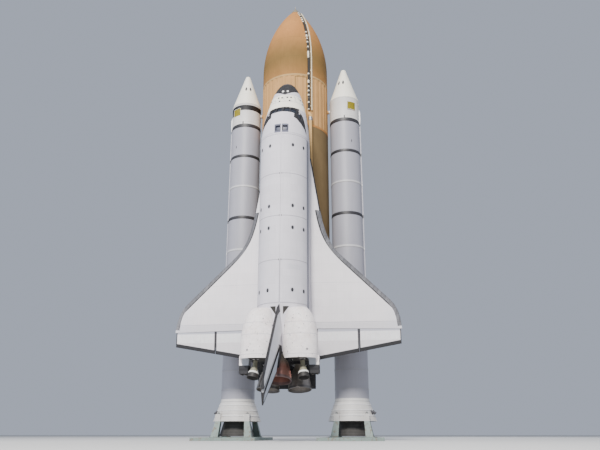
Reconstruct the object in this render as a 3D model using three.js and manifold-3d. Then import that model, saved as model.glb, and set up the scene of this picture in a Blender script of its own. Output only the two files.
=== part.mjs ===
// A space shuttle as it stands before launch, at half of real size: the winged orbiter, its
// external tank and two solid rocket boosters, upright on the eight hold-down posts.
//
// Sizes are inches of the real vehicle, because its drawings give every place as a station in
// inches. One scale on the whole stack turns them into millimetres of the model.
// Inside the stack x runs aft (down), y to starboard and z out through the orbiter's back.
// The tank, the orbiter and each booster have their own station frame, a group each.
import * as THREE from "three";
import { mergeVertices } from "three/addons/utils/BufferGeometryUtils.js";
import Module from "manifold-3d";

const wasm = await Module();
wasm.setup();

const MODEL_SCALE = 1 / 2;
const MM_PER_INCH = 25.4 * MODEL_SCALE;

const TOUCH = 0.05; // gap between pieces that rest on each other
const RUNNING = 0.8; // gap round a moving piece

// Where the frames lie in tank stations.
const FLOOR_X = 2550;
const DEPTH_MIDDLE_Z = 694.85;
const ORBITER_ORIGIN = [741, 0, 336.5];
const TANK_AXIS_Z = 400;
const BOOSTER_ORIGIN_X = 543;
const BOOSTER_AXIS_Y = 250.5;

const finish = (color, roughness, metalness = 0) =>
  new THREE.MeshStandardMaterial({ color, roughness, metalness });
const WHITE_BLANKET = finish(0xe6e4e2, 0.85);
const BLACK_TILE = finish(0x26272a, 0.7);
const GREY_CARBON = finish(0x6c6d70, 0.6);
const FOAM = finish(0xb87a3c, 0.95);
const BOOSTER_PAINT = finish(0xd9d9d6, 0.55);
const BARE_METAL = finish(0x8d8f92, 0.35, 0.9);
const NOZZLE_METAL = finish(0x5b5754, 0.45, 0.8);
const DARK_LINER = finish(0x2c2b2a, 0.9);
const GLASS = finish(0x1b2533, 0.08);
const STEEL_PAINT = finish(0x7f8a86, 0.6);
const CABIN_GREY = finish(0x8b9094, 0.8);

// Geometry helpers.

function closedGeometry(geometry) {
  const bare = new THREE.BufferGeometry();
  bare.setAttribute("position", geometry.getAttribute("position").clone());
  if (geometry.index) bare.setIndex(geometry.index.clone());
  const merged = mergeVertices(bare, 1e-4);
  const corners = merged.index.array;
  const kept = [];
  for (let i = 0; i < corners.length; i += 3) {
    const [a, b, c] = [corners[i], corners[i + 1], corners[i + 2]];
    if (a !== b && b !== c && c !== a) kept.push(a, b, c);
  }
  merged.setIndex(kept);
  return merged;
}

function solid(geometry) {
  const closed = closedGeometry(geometry);
  const vertProperties = new Float32Array(closed.attributes.position.array);
  const triVerts = new Uint32Array(closed.index.array);
  const build = () => new wasm.Manifold(new wasm.Mesh({ numProp: 3, vertProperties, triVerts }));
  const made = build();
  if (made.volume() > 0) return made;
  for (let i = 0; i < triVerts.length; i += 3) {
    [triVerts[i + 1], triVerts[i + 2]] = [triVerts[i + 2], triVerts[i + 1]];
  }
  return build();
}

function geometryOf(manifold) {
  const { vertProperties, triVerts, numProp, numVert } = manifold.getMesh();
  const positions = new Float32Array(numVert * 3);
  for (let i = 0; i < numVert; i++) {
    positions.set(vertProperties.subarray(i * numProp, i * numProp + 3), i * 3);
  }
  const geometry = new THREE.BufferGeometry();
  geometry.setAttribute("position", new THREE.BufferAttribute(positions, 3));
  geometry.setIndex(new THREE.BufferAttribute(triVerts, 1));
  geometry.computeVertexNormals();
  return geometry;
}

function addPiece(group, name, manifold, material) {
  const mesh = new THREE.Mesh(geometryOf(manifold), material);
  mesh.name = name;
  group.add(mesh);
}

const joined = (solids) => solids.reduce((sum, next) => sum.add(next));
const without = (base, cutters) => cutters.reduce((rest, cutter) => rest.subtract(cutter), base);

// A flat cap over a ring of points, wound as the ring is.
function capTriangles(ring) {
  const normal = new THREE.Vector3();
  ring.forEach((p, i) => {
    const q = ring[(i + 1) % ring.length];
    normal.x += (p[1] - q[1]) * (p[2] + q[2]);
    normal.y += (p[2] - q[2]) * (p[0] + q[0]);
    normal.z += (p[0] - q[0]) * (p[1] + q[1]);
  });
  const size = [Math.abs(normal.x), Math.abs(normal.y), Math.abs(normal.z)];
  const dropped = size.indexOf(Math.max(...size));
  if (size[dropped] < 1e-6) return [];
  const [u, v] = [0, 1, 2].filter((axis) => axis !== dropped);
  const flat = ring.map((p) => new THREE.Vector2(p[u], p[v]));
  const turn = THREE.ShapeUtils.isClockWise(flat);
  return THREE.ShapeUtils.triangulateShape(flat, []).map(([a, b, c]) => {
    const same = THREE.ShapeUtils.isClockWise([flat[a], flat[b], flat[c]]) === turn;
    return same ? [a, b, c] : [a, c, b];
  });
}

// A solid through rings that have equally many points. An even-sided one starts its rings at the
// right-hand side and is folded the same way on the left as on the right.
function loft(rings, evenSided = false) {
  const count = rings[0].length;
  const index = [];
  for (let r = 0; r + 1 < rings.length; r++) {
    for (let i = 0; i < count; i++) {
      const a = r * count + i;
      const b = r * count + ((i + 1) % count);
      const left = evenSided && i >= count / 4 && i < (3 * count) / 4;
      if (left) index.push(a, b, a + count, b, b + count, a + count);
      else index.push(a, b, b + count, a, b + count, a + count);
    }
  }
  const last = (rings.length - 1) * count;
  capTriangles(rings[0]).forEach(([a, b, c]) => index.push(a, c, b));
  capTriangles(rings.at(-1)).forEach(([a, b, c]) => index.push(last + a, last + b, last + c));
  const geometry = new THREE.BufferGeometry();
  geometry.setAttribute("position", new THREE.Float32BufferAttribute(rings.flat(2), 3));
  geometry.setIndex(index);
  return solid(geometry);
}

// A body of revolution about x, from [x, radius] pairs. A hollow profile ends where it starts.
function turned(profile, sides, start = 0) {
  const points = profile.map(([x, radius]) => new THREE.Vector2(radius, x));
  const geometry = new THREE.LatheGeometry(points, sides, start);
  geometry.rotateZ(-Math.PI / 2);
  return solid(geometry);
}

function box(x, y, z) {
  const geometry = new THREE.BoxGeometry(x[1] - x[0], y[1] - y[0], z[1] - z[0]);
  geometry.translate((x[0] + x[1]) / 2, (y[0] + y[1]) / 2, (z[0] + z[1]) / 2);
  return solid(geometry);
}

// A round bar between two points, with a radius at each.
function bar(from, to, radius, sides = 10, endRadius = radius) {
  const a = new THREE.Vector3(...from);
  const b = new THREE.Vector3(...to);
  const geometry = new THREE.CylinderGeometry(endRadius, radius, a.distanceTo(b), sides);
  geometry.applyQuaternion(
    new THREE.Quaternion().setFromUnitVectors(
      new THREE.Vector3(0, 1, 0),
      b.clone().sub(a).normalize(),
    ),
  );
  geometry.translate((a.x + b.x) / 2, (a.y + b.y) / 2, (a.z + b.z) / 2);
  return solid(geometry);
}

function ball(centre, radius, sides = 16) {
  const geometry = new THREE.SphereGeometry(radius, sides, Math.round(sides / 2));
  geometry.translate(...centre);
  return solid(geometry);
}

// A prism along x of a polygon of [y, z] points.
function prismX(outline, fromX, toX) {
  return loft([fromX, toX].map((x) => outline.map(([y, z]) => [x, y, z])));
}

function shaped(manifold, change) {
  const geometry = geometryOf(manifold);
  change(geometry);
  return solid(geometry);
}
const mirrored = (manifold) => shaped(manifold, (g) => g.scale(1, -1, 1));
const sided = (side, manifold) => (side > 0 ? manifold : mirrored(manifold));
const arc = (from, to, steps) =>
  Array.from({ length: steps + 1 }, (_, i) => from + ((to - from) * i) / steps);
const radians = THREE.MathUtils.degToRad;
const mix = THREE.MathUtils.lerp;

// The orbiter's fuselage, in orbiter stations.

const BAY_AXIS_Z = 400;
const BODY_HALF_WIDTH = 104;
const BAY_FRONT_X = 578;
const BAY_BACK_X = 1307;
const RING_POINTS = 28;

// columns: station, half width, height of the widest line, top, belly, and how square the
// section is above and below the widest line (2 is an ellipse)
const HULL = [
  [236, 2, 331, 333, 329, 2, 2],
  [239, 15, 331, 345, 318, 2, 2],
  [247, 28, 331.5, 357, 308, 2, 2],
  [259, 39, 333, 367, 301, 2, 2],
  [280, 51, 336, 381, 292, 2, 2.1],
  [310, 63, 340, 397, 285, 2, 2.3],
  [350, 75, 346, 414, 280, 2, 2.6],
  [412, 88.5, 357, 438, 276.7, 2, 3.3],
  [464, 96.5, 373, 483, 275.2, 1.9, 4],
  [494, 99.5, 382.5, 495, 275, 1.95, 4.3],
  [532, 102.2, 392, 501.7, 275, 2, 4.6],
  [BAY_FRONT_X, BODY_HALF_WIDTH, BAY_AXIS_Z, 504, 275, 2, 5],
  [BAY_BACK_X, BODY_HALF_WIDTH, BAY_AXIS_Z, 504, 275, 2, 5],
  [1360, 108, 400, 503, 275, 2.3, 5],
  [1430, 116, 398, 501, 276, 2.7, 6],
  [1500, 122, 395, 498, 279, 3, 8],
  [1560, 124, 393, 495, 282, 3.2, 8],
];
const NOSE_CAP_ROWS = 4;
const FRONT_ROWS = 12;

// A point of a rounded-square outline: share is the cosine or sine, power 2 makes an ellipse.
const squared = (share, power) => Math.sign(share) * Math.abs(share) ** (2 / power);

function hullRing([x, half, middle, top, belly, topPower, bellyPower], grow = 0) {
  return arc(0, 2 * Math.PI, RING_POINTS).slice(0, RING_POINTS).map((angle) => {
    const up = Math.sin(angle) > 0;
    const power = up ? topPower : bellyPower;
    const rise = up ? top - middle : middle - belly;
    return [
      x,
      (half + grow) * squared(Math.cos(angle), power),
      middle + (rise + grow) * squared(Math.sin(angle), power),
    ];
  });
}

function hullRow(x) {
  const next = HULL.findIndex((row) => row[0] > x);
  const [a, b] = [HULL[next - 1], HULL[next]];
  return a.map((value, column) => mix(value, b[column], (x - a[0]) / (b[0] - a[0])));
}

const hullLoft = (rows, grow = 0) => loft(rows.map((row) => hullRing(row, grow)), true);
const grownHull = hullLoft(HULL, TOUCH);

// The crew cabin: a hollow with its windows and side hatch cut through the shell.
const CABIN_WALL = 6;
const CABIN_STATIONS = [423, 464, 494, 532, BAY_FRONT_X - CABIN_WALL];
const CABIN_FLOOR_Z = 350;
const CABIN_EYE = [512, 0, 415];
const PANE_DEPTH = [0.7, 1.25];
// The glass band stands just inside the shell, behind the openings.
const GLASS_INSET = 0.4;
const GLASS_THICK = 2;

function hullPoint(x, degrees) {
  const row = hullRow(x);
  const angle = radians(degrees);
  const power = row[5];
  return [
    x,
    row[1] * squared(Math.cos(angle), power),
    row[2] + (row[3] - row[2]) * squared(Math.sin(angle), power),
  ];
}

// columns: the pane's front and back station at its lower edge, then at its upper edge, and the
// lower and upper edge's angle round the hull, where 90 is the top
const WINDSHIELD_PANES = [
  [420, 456, 419, 455, 71, 87.5],
  [426, 463, 420, 457, 51, 68],
  [456, 499, 431, 469, 34, 48.5],
];
const OVERHEAD_PANES = [[540, 562, 540, 562, 76, 87]];

function paneCutter([lowFront, lowBack, highFront, highBack, low, high], side) {
  const corners = [
    hullPoint(lowFront, low),
    hullPoint(lowBack, low),
    hullPoint(highBack, high),
    hullPoint(highFront, high),
  ];
  const eye = new THREE.Vector3(...CABIN_EYE);
  const rings = PANE_DEPTH.map((share) =>
    corners.map(([x, y, z]) => eye.clone().lerp(new THREE.Vector3(x, y * side, z), share).toArray()),
  );
  return loft(rings);
}

const HATCH = { x: 522, z: 366, radius: 20, sides: 28 };
// The hatch narrows inwards, so that it can swing out of its frame.
const hatchDrum = (radius) =>
  bar([HATCH.x, -60, HATCH.z], [HATCH.x, -130, HATCH.z], radius - 9, HATCH.sides, radius + 6);

function shrunkRow(row, inset) {
  const [x, half, middle, top, belly, topPower, bellyPower] = row;
  return [x, half - inset, middle, top - inset, belly + inset, topPower, bellyPower];
}

function cabinHollow(inset, keepBelow) {
  const rows = CABIN_STATIONS.map((x) => shrunkRow(hullRow(x), inset));
  const [first, last] = [rows[0][0], rows.at(-1)[0]];
  const under = box([first - 1, last + 1], [-120, 120], [200, keepBelow]);
  return hullLoft(rows).subtract(under);
}

// A curved sheet of glass under the shell, from one side to the other.
function windowBand(fromX, toX, fromZ) {
  const outer = cabinHollow(CABIN_WALL + GLASS_INSET, CABIN_FLOOR_Z);
  const inner = cabinHollow(CABIN_WALL + GLASS_INSET + GLASS_THICK, CABIN_FLOOR_Z - 10);
  return outer.subtract(inner).intersect(box([fromX, toX], [-120, 120], [fromZ, 560]));
}

function forwardFuselage() {
  const shell = hullLoft([...HULL.slice(NOSE_CAP_ROWS - 1, FRONT_ROWS)]);
  const noseEnd = box([200, HULL[NOSE_CAP_ROWS - 1][0] + TOUCH], [-90, 90], [250, 450]);
  const panes = [-1, 1].flatMap((side) =>
    [...WINDSHIELD_PANES, ...OVERHEAD_PANES].map((pane) => paneCutter(pane, side)),
  );
  return without(shell, [
    noseEnd,
    cabinHollow(CABIN_WALL, CABIN_FLOOR_Z - 28),
    ...panes,
    hatchDrum(HATCH.radius + RUNNING),
  ]);
}

function crewHatch() {
  const wall = hullLoft(HULL.slice(NOSE_CAP_ROWS, FRONT_ROWS)).subtract(
    cabinHollow(CABIN_WALL, CABIN_FLOOR_Z - 28),
  );
  return wall.intersect(hatchDrum(HATCH.radius));
}

function flightDeck() {
  const seat = (x, y) =>
    joined([
      box([x, x + 20], [y - 10, y + 10], [CABIN_FLOOR_Z + 1, CABIN_FLOOR_Z + 20]),
      box([x + 16, x + 22], [y - 10, y + 10], [CABIN_FLOOR_Z + 1, CABIN_FLOOR_Z + 58]),
    ]);
  const deck = box([436, 560], [-82, 82], [CABIN_FLOOR_Z - 4, CABIN_FLOOR_Z + 2]);
  const panel = box([440, 454], [-56, 56], [CABIN_FLOOR_Z, CABIN_FLOOR_Z + 54]);
  const console = box([458, 494], [-10, 10], [CABIN_FLOOR_Z, CABIN_FLOOR_Z + 26]);
  const aftPanel = box([548, 562], [-60, 60], [CABIN_FLOOR_Z, CABIN_FLOOR_Z + 60]);
  const all = joined([deck, panel, console, aftPanel, seat(474, -30), seat(474, 30)]);
  return all.intersect(cabinHollow(CABIN_WALL + 3, CABIN_FLOOR_Z - 20));
}

// The mid fuselage is a trough under the payload bay, and its two doors hinge on the sills.
const SILL_Z = 420;
const BAY_RADIUS = 92;
const DOOR_THICK = 7;
const DOOR_SPLIT = 0.6;
const DOOR_STEPS = 10;

function midFuselage() {
  const ring = hullRing(HULL[FRONT_ROWS - 1]).map(([, y, z]) => [y, z]);
  const outside = prismX(ring, BAY_FRONT_X + TOUCH, BAY_BACK_X - TOUCH);
  const above = box([500, 1400], [-120, 120], [SILL_Z, 560]);
  const bay = [
    [BAY_RADIUS, 560],
    ...arc(0, -180, 14).map((degrees) => [
      BAY_RADIUS * Math.cos(radians(degrees)),
      BAY_AXIS_Z + BAY_RADIUS * Math.sin(radians(degrees)),
    ]),
    [-BAY_RADIUS, 560],
  ];
  return without(outside, [above, prismX(bay, 500, 1400)]);
}

function bayDoor() {
  const lowAngle = (Math.asin((SILL_Z + RUNNING - BAY_AXIS_Z) / BODY_HALF_WIDTH) * 180) / Math.PI;
  const edge = (radius) =>
    arc(lowAngle, 90, DOOR_STEPS).map((degrees) => [
      Math.max(radius * Math.cos(radians(degrees)), DOOR_SPLIT / 2),
      Math.max(BAY_AXIS_Z + radius * Math.sin(radians(degrees)), SILL_Z + RUNNING),
    ]);
  const outline = [...edge(BODY_HALF_WIDTH), ...edge(BODY_HALF_WIDTH - DOOR_THICK).reverse()];
  return prismX(outline, BAY_FRONT_X + RUNNING, BAY_BACK_X - RUNNING);
}

// A prism along y of a polygon of [x, z] points, and one along z of [x, y] points.
function prismY(outline, fromY, toY) {
  return loft([fromY, toY].map((y) => outline.map(([x, z]) => [x, y, z])));
}
function prismZ(outline, fromZ, toZ) {
  return loft([fromZ, toZ].map((z) => outline.map(([x, y]) => [x, y, z])));
}

// Main engines. Each swings about its gimbal point and carries a dome centred there, so that the
// opening in the base stays covered.
// columns: name, gimbal station, side, height, upward cant, outward cant
const MAIN_ENGINES = [
  ["1", 1445, 0, 443, 16, 0],
  ["2", 1468.2, -53, 342.6, 10, -3.5],
  ["3", 1468.2, 53, 342.6, 10, 3.5],
];
const ENGINE_SIDES = 22;
const ENGINE_EXIT = 157;
const DOME = { radius: 60, thick: 3.5, edge: 33 };
const DOME_ROOM = 3.2;
const GIMBAL_BALL = 5;
const GIMBAL_SEAT = 6.3;
// distance from the gimbal and radius, down the bell's outside
const BELL = [
  [75, 21.5],
  [90, 29.5],
  [115, 38],
  [ENGINE_EXIT, 45.4],
];
const BELL_WALL = 1.8;
// The room an engine needs to swing in: half width and half height per inch from the gimbal.
const SWING_WIDTH = Math.tan(THREE.MathUtils.degToRad(27.5));
const SWING_HEIGHT = Math.tan(THREE.MathUtils.degToRad(29.5));

function pointing(up, out) {
  const [p, w] = [radians(up), radians(out)];
  return new THREE.Vector3(
    Math.cos(p) * Math.cos(w),
    Math.cos(p) * Math.sin(w),
    Math.sin(p),
  );
}

// Moves a solid made along x from the origin to where it points and sits.
function aimed(manifold, [x, y, z], up, out) {
  const place = new THREE.Matrix4().makeRotationFromQuaternion(
    new THREE.Quaternion().setFromUnitVectors(new THREE.Vector3(1, 0, 0), pointing(up, out)),
  );
  place.setPosition(x, y, z);
  return shaped(manifold, (g) => g.applyMatrix4(place));
}

function mainEngine() {
  const onSphere = (radius, degrees) => [
    radius * Math.cos(radians(degrees)),
    radius * Math.sin(radians(degrees)),
  ];
  const head = [
    [2.5, 0],
    [2.5, 7],
    [16, 16],
    [46, 14],
  ];
  const inside = DOME.radius - DOME.thick;
  const domeInside = arc(13, DOME.edge, 2).map((degrees) => onSphere(inside, degrees));
  const domeOutside = arc(DOME.edge, 14, 2).map((degrees) => onSphere(DOME.radius, degrees));
  const bellInside = BELL.map(([x, radius]) => [x, radius - BELL_WALL]).reverse();
  const throat = [
    [66, 8],
    [64, 0],
  ];
  const profile = [...head, ...domeInside, ...domeOutside, ...BELL, ...bellInside, ...throat];
  return turned(profile, ENGINE_SIDES).subtract(ball([0, 0, 0], GIMBAL_SEAT, 10));
}

// Rounded-square rings round an engine's axis, from [distance, extra half width, extra height].
function swingRoom(stations, count = 20) {
  return loft(
    stations.map(([x, wider, higher]) =>
      arc(0, 2 * Math.PI, count).slice(0, count).map((angle) => [
        x,
        (x * SWING_WIDTH + wider) * squared(Math.cos(angle), 2.6),
        (x * SWING_HEIGHT + higher) * squared(Math.sin(angle), 2.6),
      ]),
    ),
  );
}

// The aft fuselage: a thrust compartment whose sloping base carries three openings with collars.
const BASE_FOOT = { x: 1528, z: 343 };
const BASE_LEAN = 0.23;
const BASE_WALL = 6;
const baseX = (z) => BASE_FOOT.x - BASE_LEAN * (z - BASE_FOOT.z);
const COMPARTMENT = { front: 1425, half: 100, low: 296, high: 482 };
const COLLAR_TOP_Z = 496;
const FLAP = { x: 1540, z: 291, radius: 9.5, half: 117, end: 1613, endLow: 284.5, endHigh: 287.5 };
const UMBILICAL_PLATE = { x: [1424, 1484], y: [108, 122.5], z: [352, 418] };

// Everything behind the base's slope.
const behindBase = (gap = 0) =>
  prismY(
    [
      [baseX(200) + gap, 200],
      [1700, 200],
      [1700, 600],
      [baseX(600) + gap, 600],
    ],
    -200,
    200,
  );

function aftFuselage() {
  const rows = HULL.slice(FRONT_ROWS);
  const shell = hullLoft([hullRow(BAY_BACK_X + TOUCH), ...rows.slice(1)]);
  const { front, half, low, high } = COMPARTMENT;
  const hollow = prismY(
    [
      [front, low],
      [baseX(low) - BASE_WALL, low],
      [baseX(high) - BASE_WALL, high],
      [front, high],
    ],
    -half,
    half,
  );
  const flapSocket = bar([FLAP.x, -140, FLAP.z], [FLAP.x, 140, FLAP.z], FLAP.radius + RUNNING, 24);
  const above = box([1300, 1700], [-200, 200], [COLLAR_TOP_Z, 700]);
  let body = without(shell, [behindBase(), hollow, flapSocket]);
  MAIN_ENGINES.forEach(([, x, y, z, up, out]) => {
    const put = (manifold) => aimed(manifold, [x, y, z], up, out);
    const collar = put(swingRoom([[48, 14, 14], [66, 5, 5]])).subtract(hollow).subtract(above);
    const opening = put(swingRoom([[10, 0, 0], [90, 0, 0]]));
    const domeRoom = put(
      ball([0, 0, 0], DOME.radius + DOME_ROOM, 16).intersect(bar([0, 0, 0], [70, 0, 0], 0.5, 16, 80)),
    );
    const post = bar([front - 4, y, z], [x - 2.5, y, z], 11, 10, 7);
    const cup = ball([x, y, z], GIMBAL_SEAT, 10);
    body = without(body.add(collar), [opening, domeRoom]).add(post.subtract(cup));
  });
  const plates = [-1, 1].map((side) =>
    sided(side, box(UMBILICAL_PLATE.x, UMBILICAL_PLATE.y, UMBILICAL_PLATE.z)),
  );
  return joined([body, ...plates]);
}

function bodyFlap() {
  const nose = arc(80, 280, 10).map((degrees) => [
    FLAP.x + FLAP.radius * Math.cos(radians(degrees)),
    FLAP.z + FLAP.radius * Math.sin(radians(degrees)),
  ]);
  return prismY([...nose, [FLAP.end, FLAP.endLow], [FLAP.end, FLAP.endHigh]], -FLAP.half, FLAP.half);
}

// The wing: a 45 degree main panel behind an 81 degree glove, on the orbiter's drawings' plan.
const HALF_SPAN = 468.34;
const CENTRE_CHORD = 689.24;
const TIP_CHORD = 137.85;
const LEADING_APEX_X = 836;
const TRAILING_APEX_X = LEADING_APEX_X + CENTRE_CHORD;
const TRAILING_SWEEP = 0.1773;
const GLOVE = { x: 611.5, y: 105, sweep: 6.314 };
const HINGE_X = 1387;
const DIHEDRAL = 0.0612;
const BELLY_Z = 282;
const WING_THICKNESS = 0.1;
const BELOW_SHARE = 0.35;
const HINGE_RADIUS = { root: 12.5, tip: 4.2 };
const CARBON_WIDTH = 17;
const CARBON_START = 3;

const gloveX = (y) => GLOVE.x + (y - GLOVE.y) * GLOVE.sweep;
const mainX = (y) => LEADING_APEX_X + y;
const trailingX = (y) => TRAILING_APEX_X - y * TRAILING_SWEEP;

function bend(from, corner, to, steps) {
  const curve = new THREE.QuadraticBezierCurve(
    new THREE.Vector2(...from),
    new THREE.Vector2(...corner),
    new THREE.Vector2(...to),
  );
  return curve.getPoints(steps).map((p) => [p.x, p.y]);
}

// [x, y] along the leading edge, from inside the hull to the tip
const LEADING_EDGE = [
  [gloveX(98), 66],
  [gloveX(105), 105],
  [gloveX(125), 125],
  ...bend([gloveX(145), 145], [mainX(167), 167], [mainX(222), 222], 5),
  [mainX(320), 320],
  ...bend([mainX(428), 428], [mainX(464), 464], [1372, HALF_SPAN], 4),
];

function wingFacts(y) {
  const span = Math.max(y, GLOVE.y);
  const chord = mix(CENTRE_CHORD, TIP_CHORD, span / HALF_SPAN);
  const out = (span - GLOVE.y) / (HALF_SPAN - GLOVE.y);
  const tipThin = 1 - 0.3 * Math.max(0, (span - 428) / (HALF_SPAN - 428)) ** 2;
  const full = WING_THICKNESS * chord;
  return {
    thick: full * tipThin,
    hingeRadius: mix(HINGE_RADIUS.root, HINGE_RADIUS.tip, out),
    crest: mainX(span) + 0.38 * chord,
    middle: BELLY_Z + DIHEDRAL * (span - GLOVE.y) + BELOW_SHARE * full,
    noseSharp: mix(0.8, 0.55, Math.min(1, Math.max(0, (span - 125) / 90))),
  };
}

// The elevons' hinge line is straight, and their rounded noses taper evenly along it.
function wingHinge(y) {
  const { hingeRadius, middle } = wingFacts(y);
  return { z: middle + (1 - 2 * BELOW_SHARE) * hingeRadius, radius: hingeRadius };
}

function wingRing([leadX, y]) {
  const { thick, crest, hingeRadius, middle, noseSharp } = wingFacts(y);
  const atHinge = (2 * hingeRadius) / thick;
  const endX = HINGE_X - 0.75 * hingeRadius;
  const top = Math.max(crest, leadX + 8);
  const share = (x) =>
    x < top
      ? (1 - (1 - (x - leadX) / (top - leadX)) ** 2) ** noseSharp
      : 1 - (1 - atHinge) * ((x - top) / (HINGE_X - top)) ** 1.5;
  const stations = [0, 0.02, 0.08, 0.2, 0.42, 0.75, 1].map((s) => mix(leadX, endX, s));
  const upper = stations.map((x) => [x, y, middle + (1 - BELOW_SHARE) * thick * share(x)]);
  const lower = stations.slice(1).map((x) => [x, y, middle - BELOW_SHARE * thick * share(x)]);
  return [...upper, ...lower.reverse()];
}

// The strip along the leading edge that is a piece of its own, as a tall block. The wing is cut
// with a slightly wider and longer one than the edge piece, so that the two only touch.
function carbonStrip(width, longer) {
  const points = LEADING_EDGE.slice(CARBON_START);
  const tangents = points.map((_, i) => {
    const [a, b] = [points[Math.max(i - 1, 0)], points[Math.min(i + 1, points.length - 1)]];
    return new THREE.Vector2(b[0] - a[0], b[1] - a[1]).normalize();
  });
  const shifted = (amount) =>
    points.map(([x, y], i) => {
      const end = i === 0 ? -longer : i === points.length - 1 ? longer : 0;
      const { x: alongX, y: alongY } = tangents[i];
      return [x + amount * alongY + end * alongX, y - amount * alongX + end * alongY];
    });
  return prismZ([...shifted(width), ...shifted(-30).reverse()], 200, 420);
}

// columns: name, inner end, outer end
const ELEVONS = [
  ["inboard", 126, 295],
  ["outboard", 297, 464],
];

function wingParts() {
  const whole = loft(LEADING_EDGE.map(wingRing)).subtract(grownHull);
  const [from, to] = [ELEVONS[0][1] - 2, HALF_SPAN + 2];
  const [a, b] = [wingHinge(from), wingHinge(to)];
  const socket = bar(
    [HINGE_X, from, a.z],
    [HINGE_X, to, b.z],
    a.radius + RUNNING,
    24,
    b.radius + RUNNING,
  );
  return {
    wing: whole.subtract(socket).subtract(carbonStrip(CARBON_WIDTH + TOUCH, TOUCH)),
    edge: whole.intersect(carbonStrip(CARBON_WIDTH, 0)),
  };
}

function elevon(from, to) {
  const ring = (y) => {
    const { z, radius } = wingHinge(y);
    const nose = arc(84, 276, 10).map((degrees) => [
      HINGE_X + radius * Math.cos(radians(degrees)),
      y,
      z + radius * Math.sin(radians(degrees)),
    ]);
    return [...nose, [trailingX(y), y, z - 1.2], [trailingX(y), y, z + 0.6]];
  };
  return loft([ring(from), ring(to)]);
}

// The fin, and behind it two panels that steer together and spread as the speed brake. They turn
// about a spar along the swept hinge line.
const FIN = { rootZ: 503, tipZ: 818.7, leadX: 1277.8, rootChord: 268.5, tipChord: 108.47 };
const FIN_ROOT = { frontX: 1308.5, steepness: 0.46, sunkZ: 490, shelfZ: 553.5 };
const RUDDER = { low: 558, high: 813 };
const SPAR_SHARE = 0.8;
const HINGE_LEAN = Math.cos(Math.atan2(1658.6 - 1438.9, FIN.tipZ - FIN.rootZ));

function finFacts(z) {
  const rise = z - FIN.rootZ;
  const chord = mix(FIN.rootChord, FIN.tipChord, rise / (FIN.tipZ - FIN.rootZ));
  const front = FIN.leadX + rise;
  const half = 0.6 * chord * Math.tan(radians(5));
  return {
    lead: Math.max(front, FIN_ROOT.frontX + FIN_ROOT.steepness * Math.max(0, rise)),
    half,
    spar: SPAR_SHARE * half,
    hinge: front + 0.6 * chord,
    trail: front + chord,
  };
}

function finRing(z, endX, endHalf) {
  const { lead, hinge, half } = finFacts(z);
  const wedge = (x) => half * ((x - lead) / (hinge - lead));
  const side = [
    [lead + 1.5, wedge(lead + 10) * 0.75],
    [lead + 10, wedge(lead + 10) + 0.8],
    [endX, endHalf],
  ];
  const back = side.map(([x, y]) => [x, -y, z]).reverse();
  return [[lead, 0, z], ...side.map(([x, y]) => [x, y, z]), ...back];
}

function fin() {
  const blade = loft(
    [FIN_ROOT.sunkZ, FIN.rootZ, 560, FIN.tipZ].map((z) => {
      const { hinge, spar, half, lead } = finFacts(z);
      const endX = hinge - (spar + 3 * RUNNING) / HINGE_LEAN;
      return finRing(z, endX, half * ((endX - lead) / (hinge - lead)));
    }),
  );
  const shelf = loft([finRing(FIN_ROOT.sunkZ, 1478, 12), finRing(FIN_ROOT.shelfZ, 1556, 10)]);
  return blade.add(shelf).subtract(grownHull);
}

function rudderSpar() {
  const ring = (z) => {
    const { hinge, spar } = finFacts(z);
    return arc(0, 2 * Math.PI, 16).slice(0, 16).map((angle) => [
      hinge + (spar / HINGE_LEAN) * Math.cos(angle),
      spar * Math.sin(angle),
      z,
    ]);
  };
  return loft([ring(RUDDER.low + 1), ring(RUDDER.high - 1)]);
}

function brakePanel() {
  const ring = (z) => {
    const { hinge, trail, half, spar } = finFacts(z);
    const front = hinge + (spar + RUNNING) / HINGE_LEAN;
    return [
      [front, RUNNING / 2, z],
      [trail, RUNNING / 2, z],
      [trail, 1.8, z],
      [front, half, z],
    ];
  };
  return loft([ring(RUDDER.low), ring(RUDDER.high)]);
}

// The two pods over the aft fuselage, each with its manoeuvring engine and a thruster housing.
const POD_ENGINE = { at: [1518, 88, 492], up: 15.8, out: 6.5, exit: 74, sides: 18, ball: 6 };
const POD_RING_POINTS = 20;
// columns: station, centre outward, centre height, half width, half height
const POD = [
  [1321, 70, 484, 26, 10],
  [1327, 71, 487, 37, 24],
  [1337, 73, 489, 44, 34],
  [1352, 76, 489.5, 51, 44],
  [1385, 79, 489, 61, 53],
  [1430, 81, 490, 66, 59],
  [1505, 82, 491, 67, 61],
  [1519, 82, 491, 66, 60],
];
// columns: station, inner and outer side, lower and upper height of the thruster housing
const THRUSTER_HOUSING = [
  [1470, 118, 134, 474, 492],
  [1508, 112, 150, 458, 503],
  [1571, 117, 151, 462, 500],
];

const podAimed = (manifold) => aimed(manifold, POD_ENGINE.at, POD_ENGINE.up, POD_ENGINE.out);

function pod() {
  const rings = POD.map(([x, y, z, half, rise]) =>
    arc(0, 2 * Math.PI, POD_RING_POINTS).slice(0, POD_RING_POINTS).map((angle) => [
      x,
      y + half * squared(Math.cos(angle), 2.3),
      z + rise * squared(Math.sin(angle), 2.3),
    ]),
  );
  const housing = THRUSTER_HOUSING.map(([x, inner, outer, low, high]) => [
    [x, inner, low],
    [x, outer, low],
    [x, outer, high],
    [x, inner, high],
  ]);
  const recess = podAimed(bar([-2, 0, 0], [62, 0, 0], 13, 20, 25));
  const boss = podAimed(ball([0, 0, 0], POD_ENGINE.ball, 10));
  const [, engineX, engineY, engineZ, up, out] = MAIN_ENGINES[0];
  const room = swingRoom([
    [20, 14, 16],
    [150, 4, 6],
  ]);
  const engineRoom = aimed(room, [engineX, engineY, engineZ], up, out);
  const body = joined([loft(rings), loft(housing)]);
  return without(body, [grownHull.subtract(behindBase(TOUCH)), engineRoom, recess]).add(boss);
}

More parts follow.
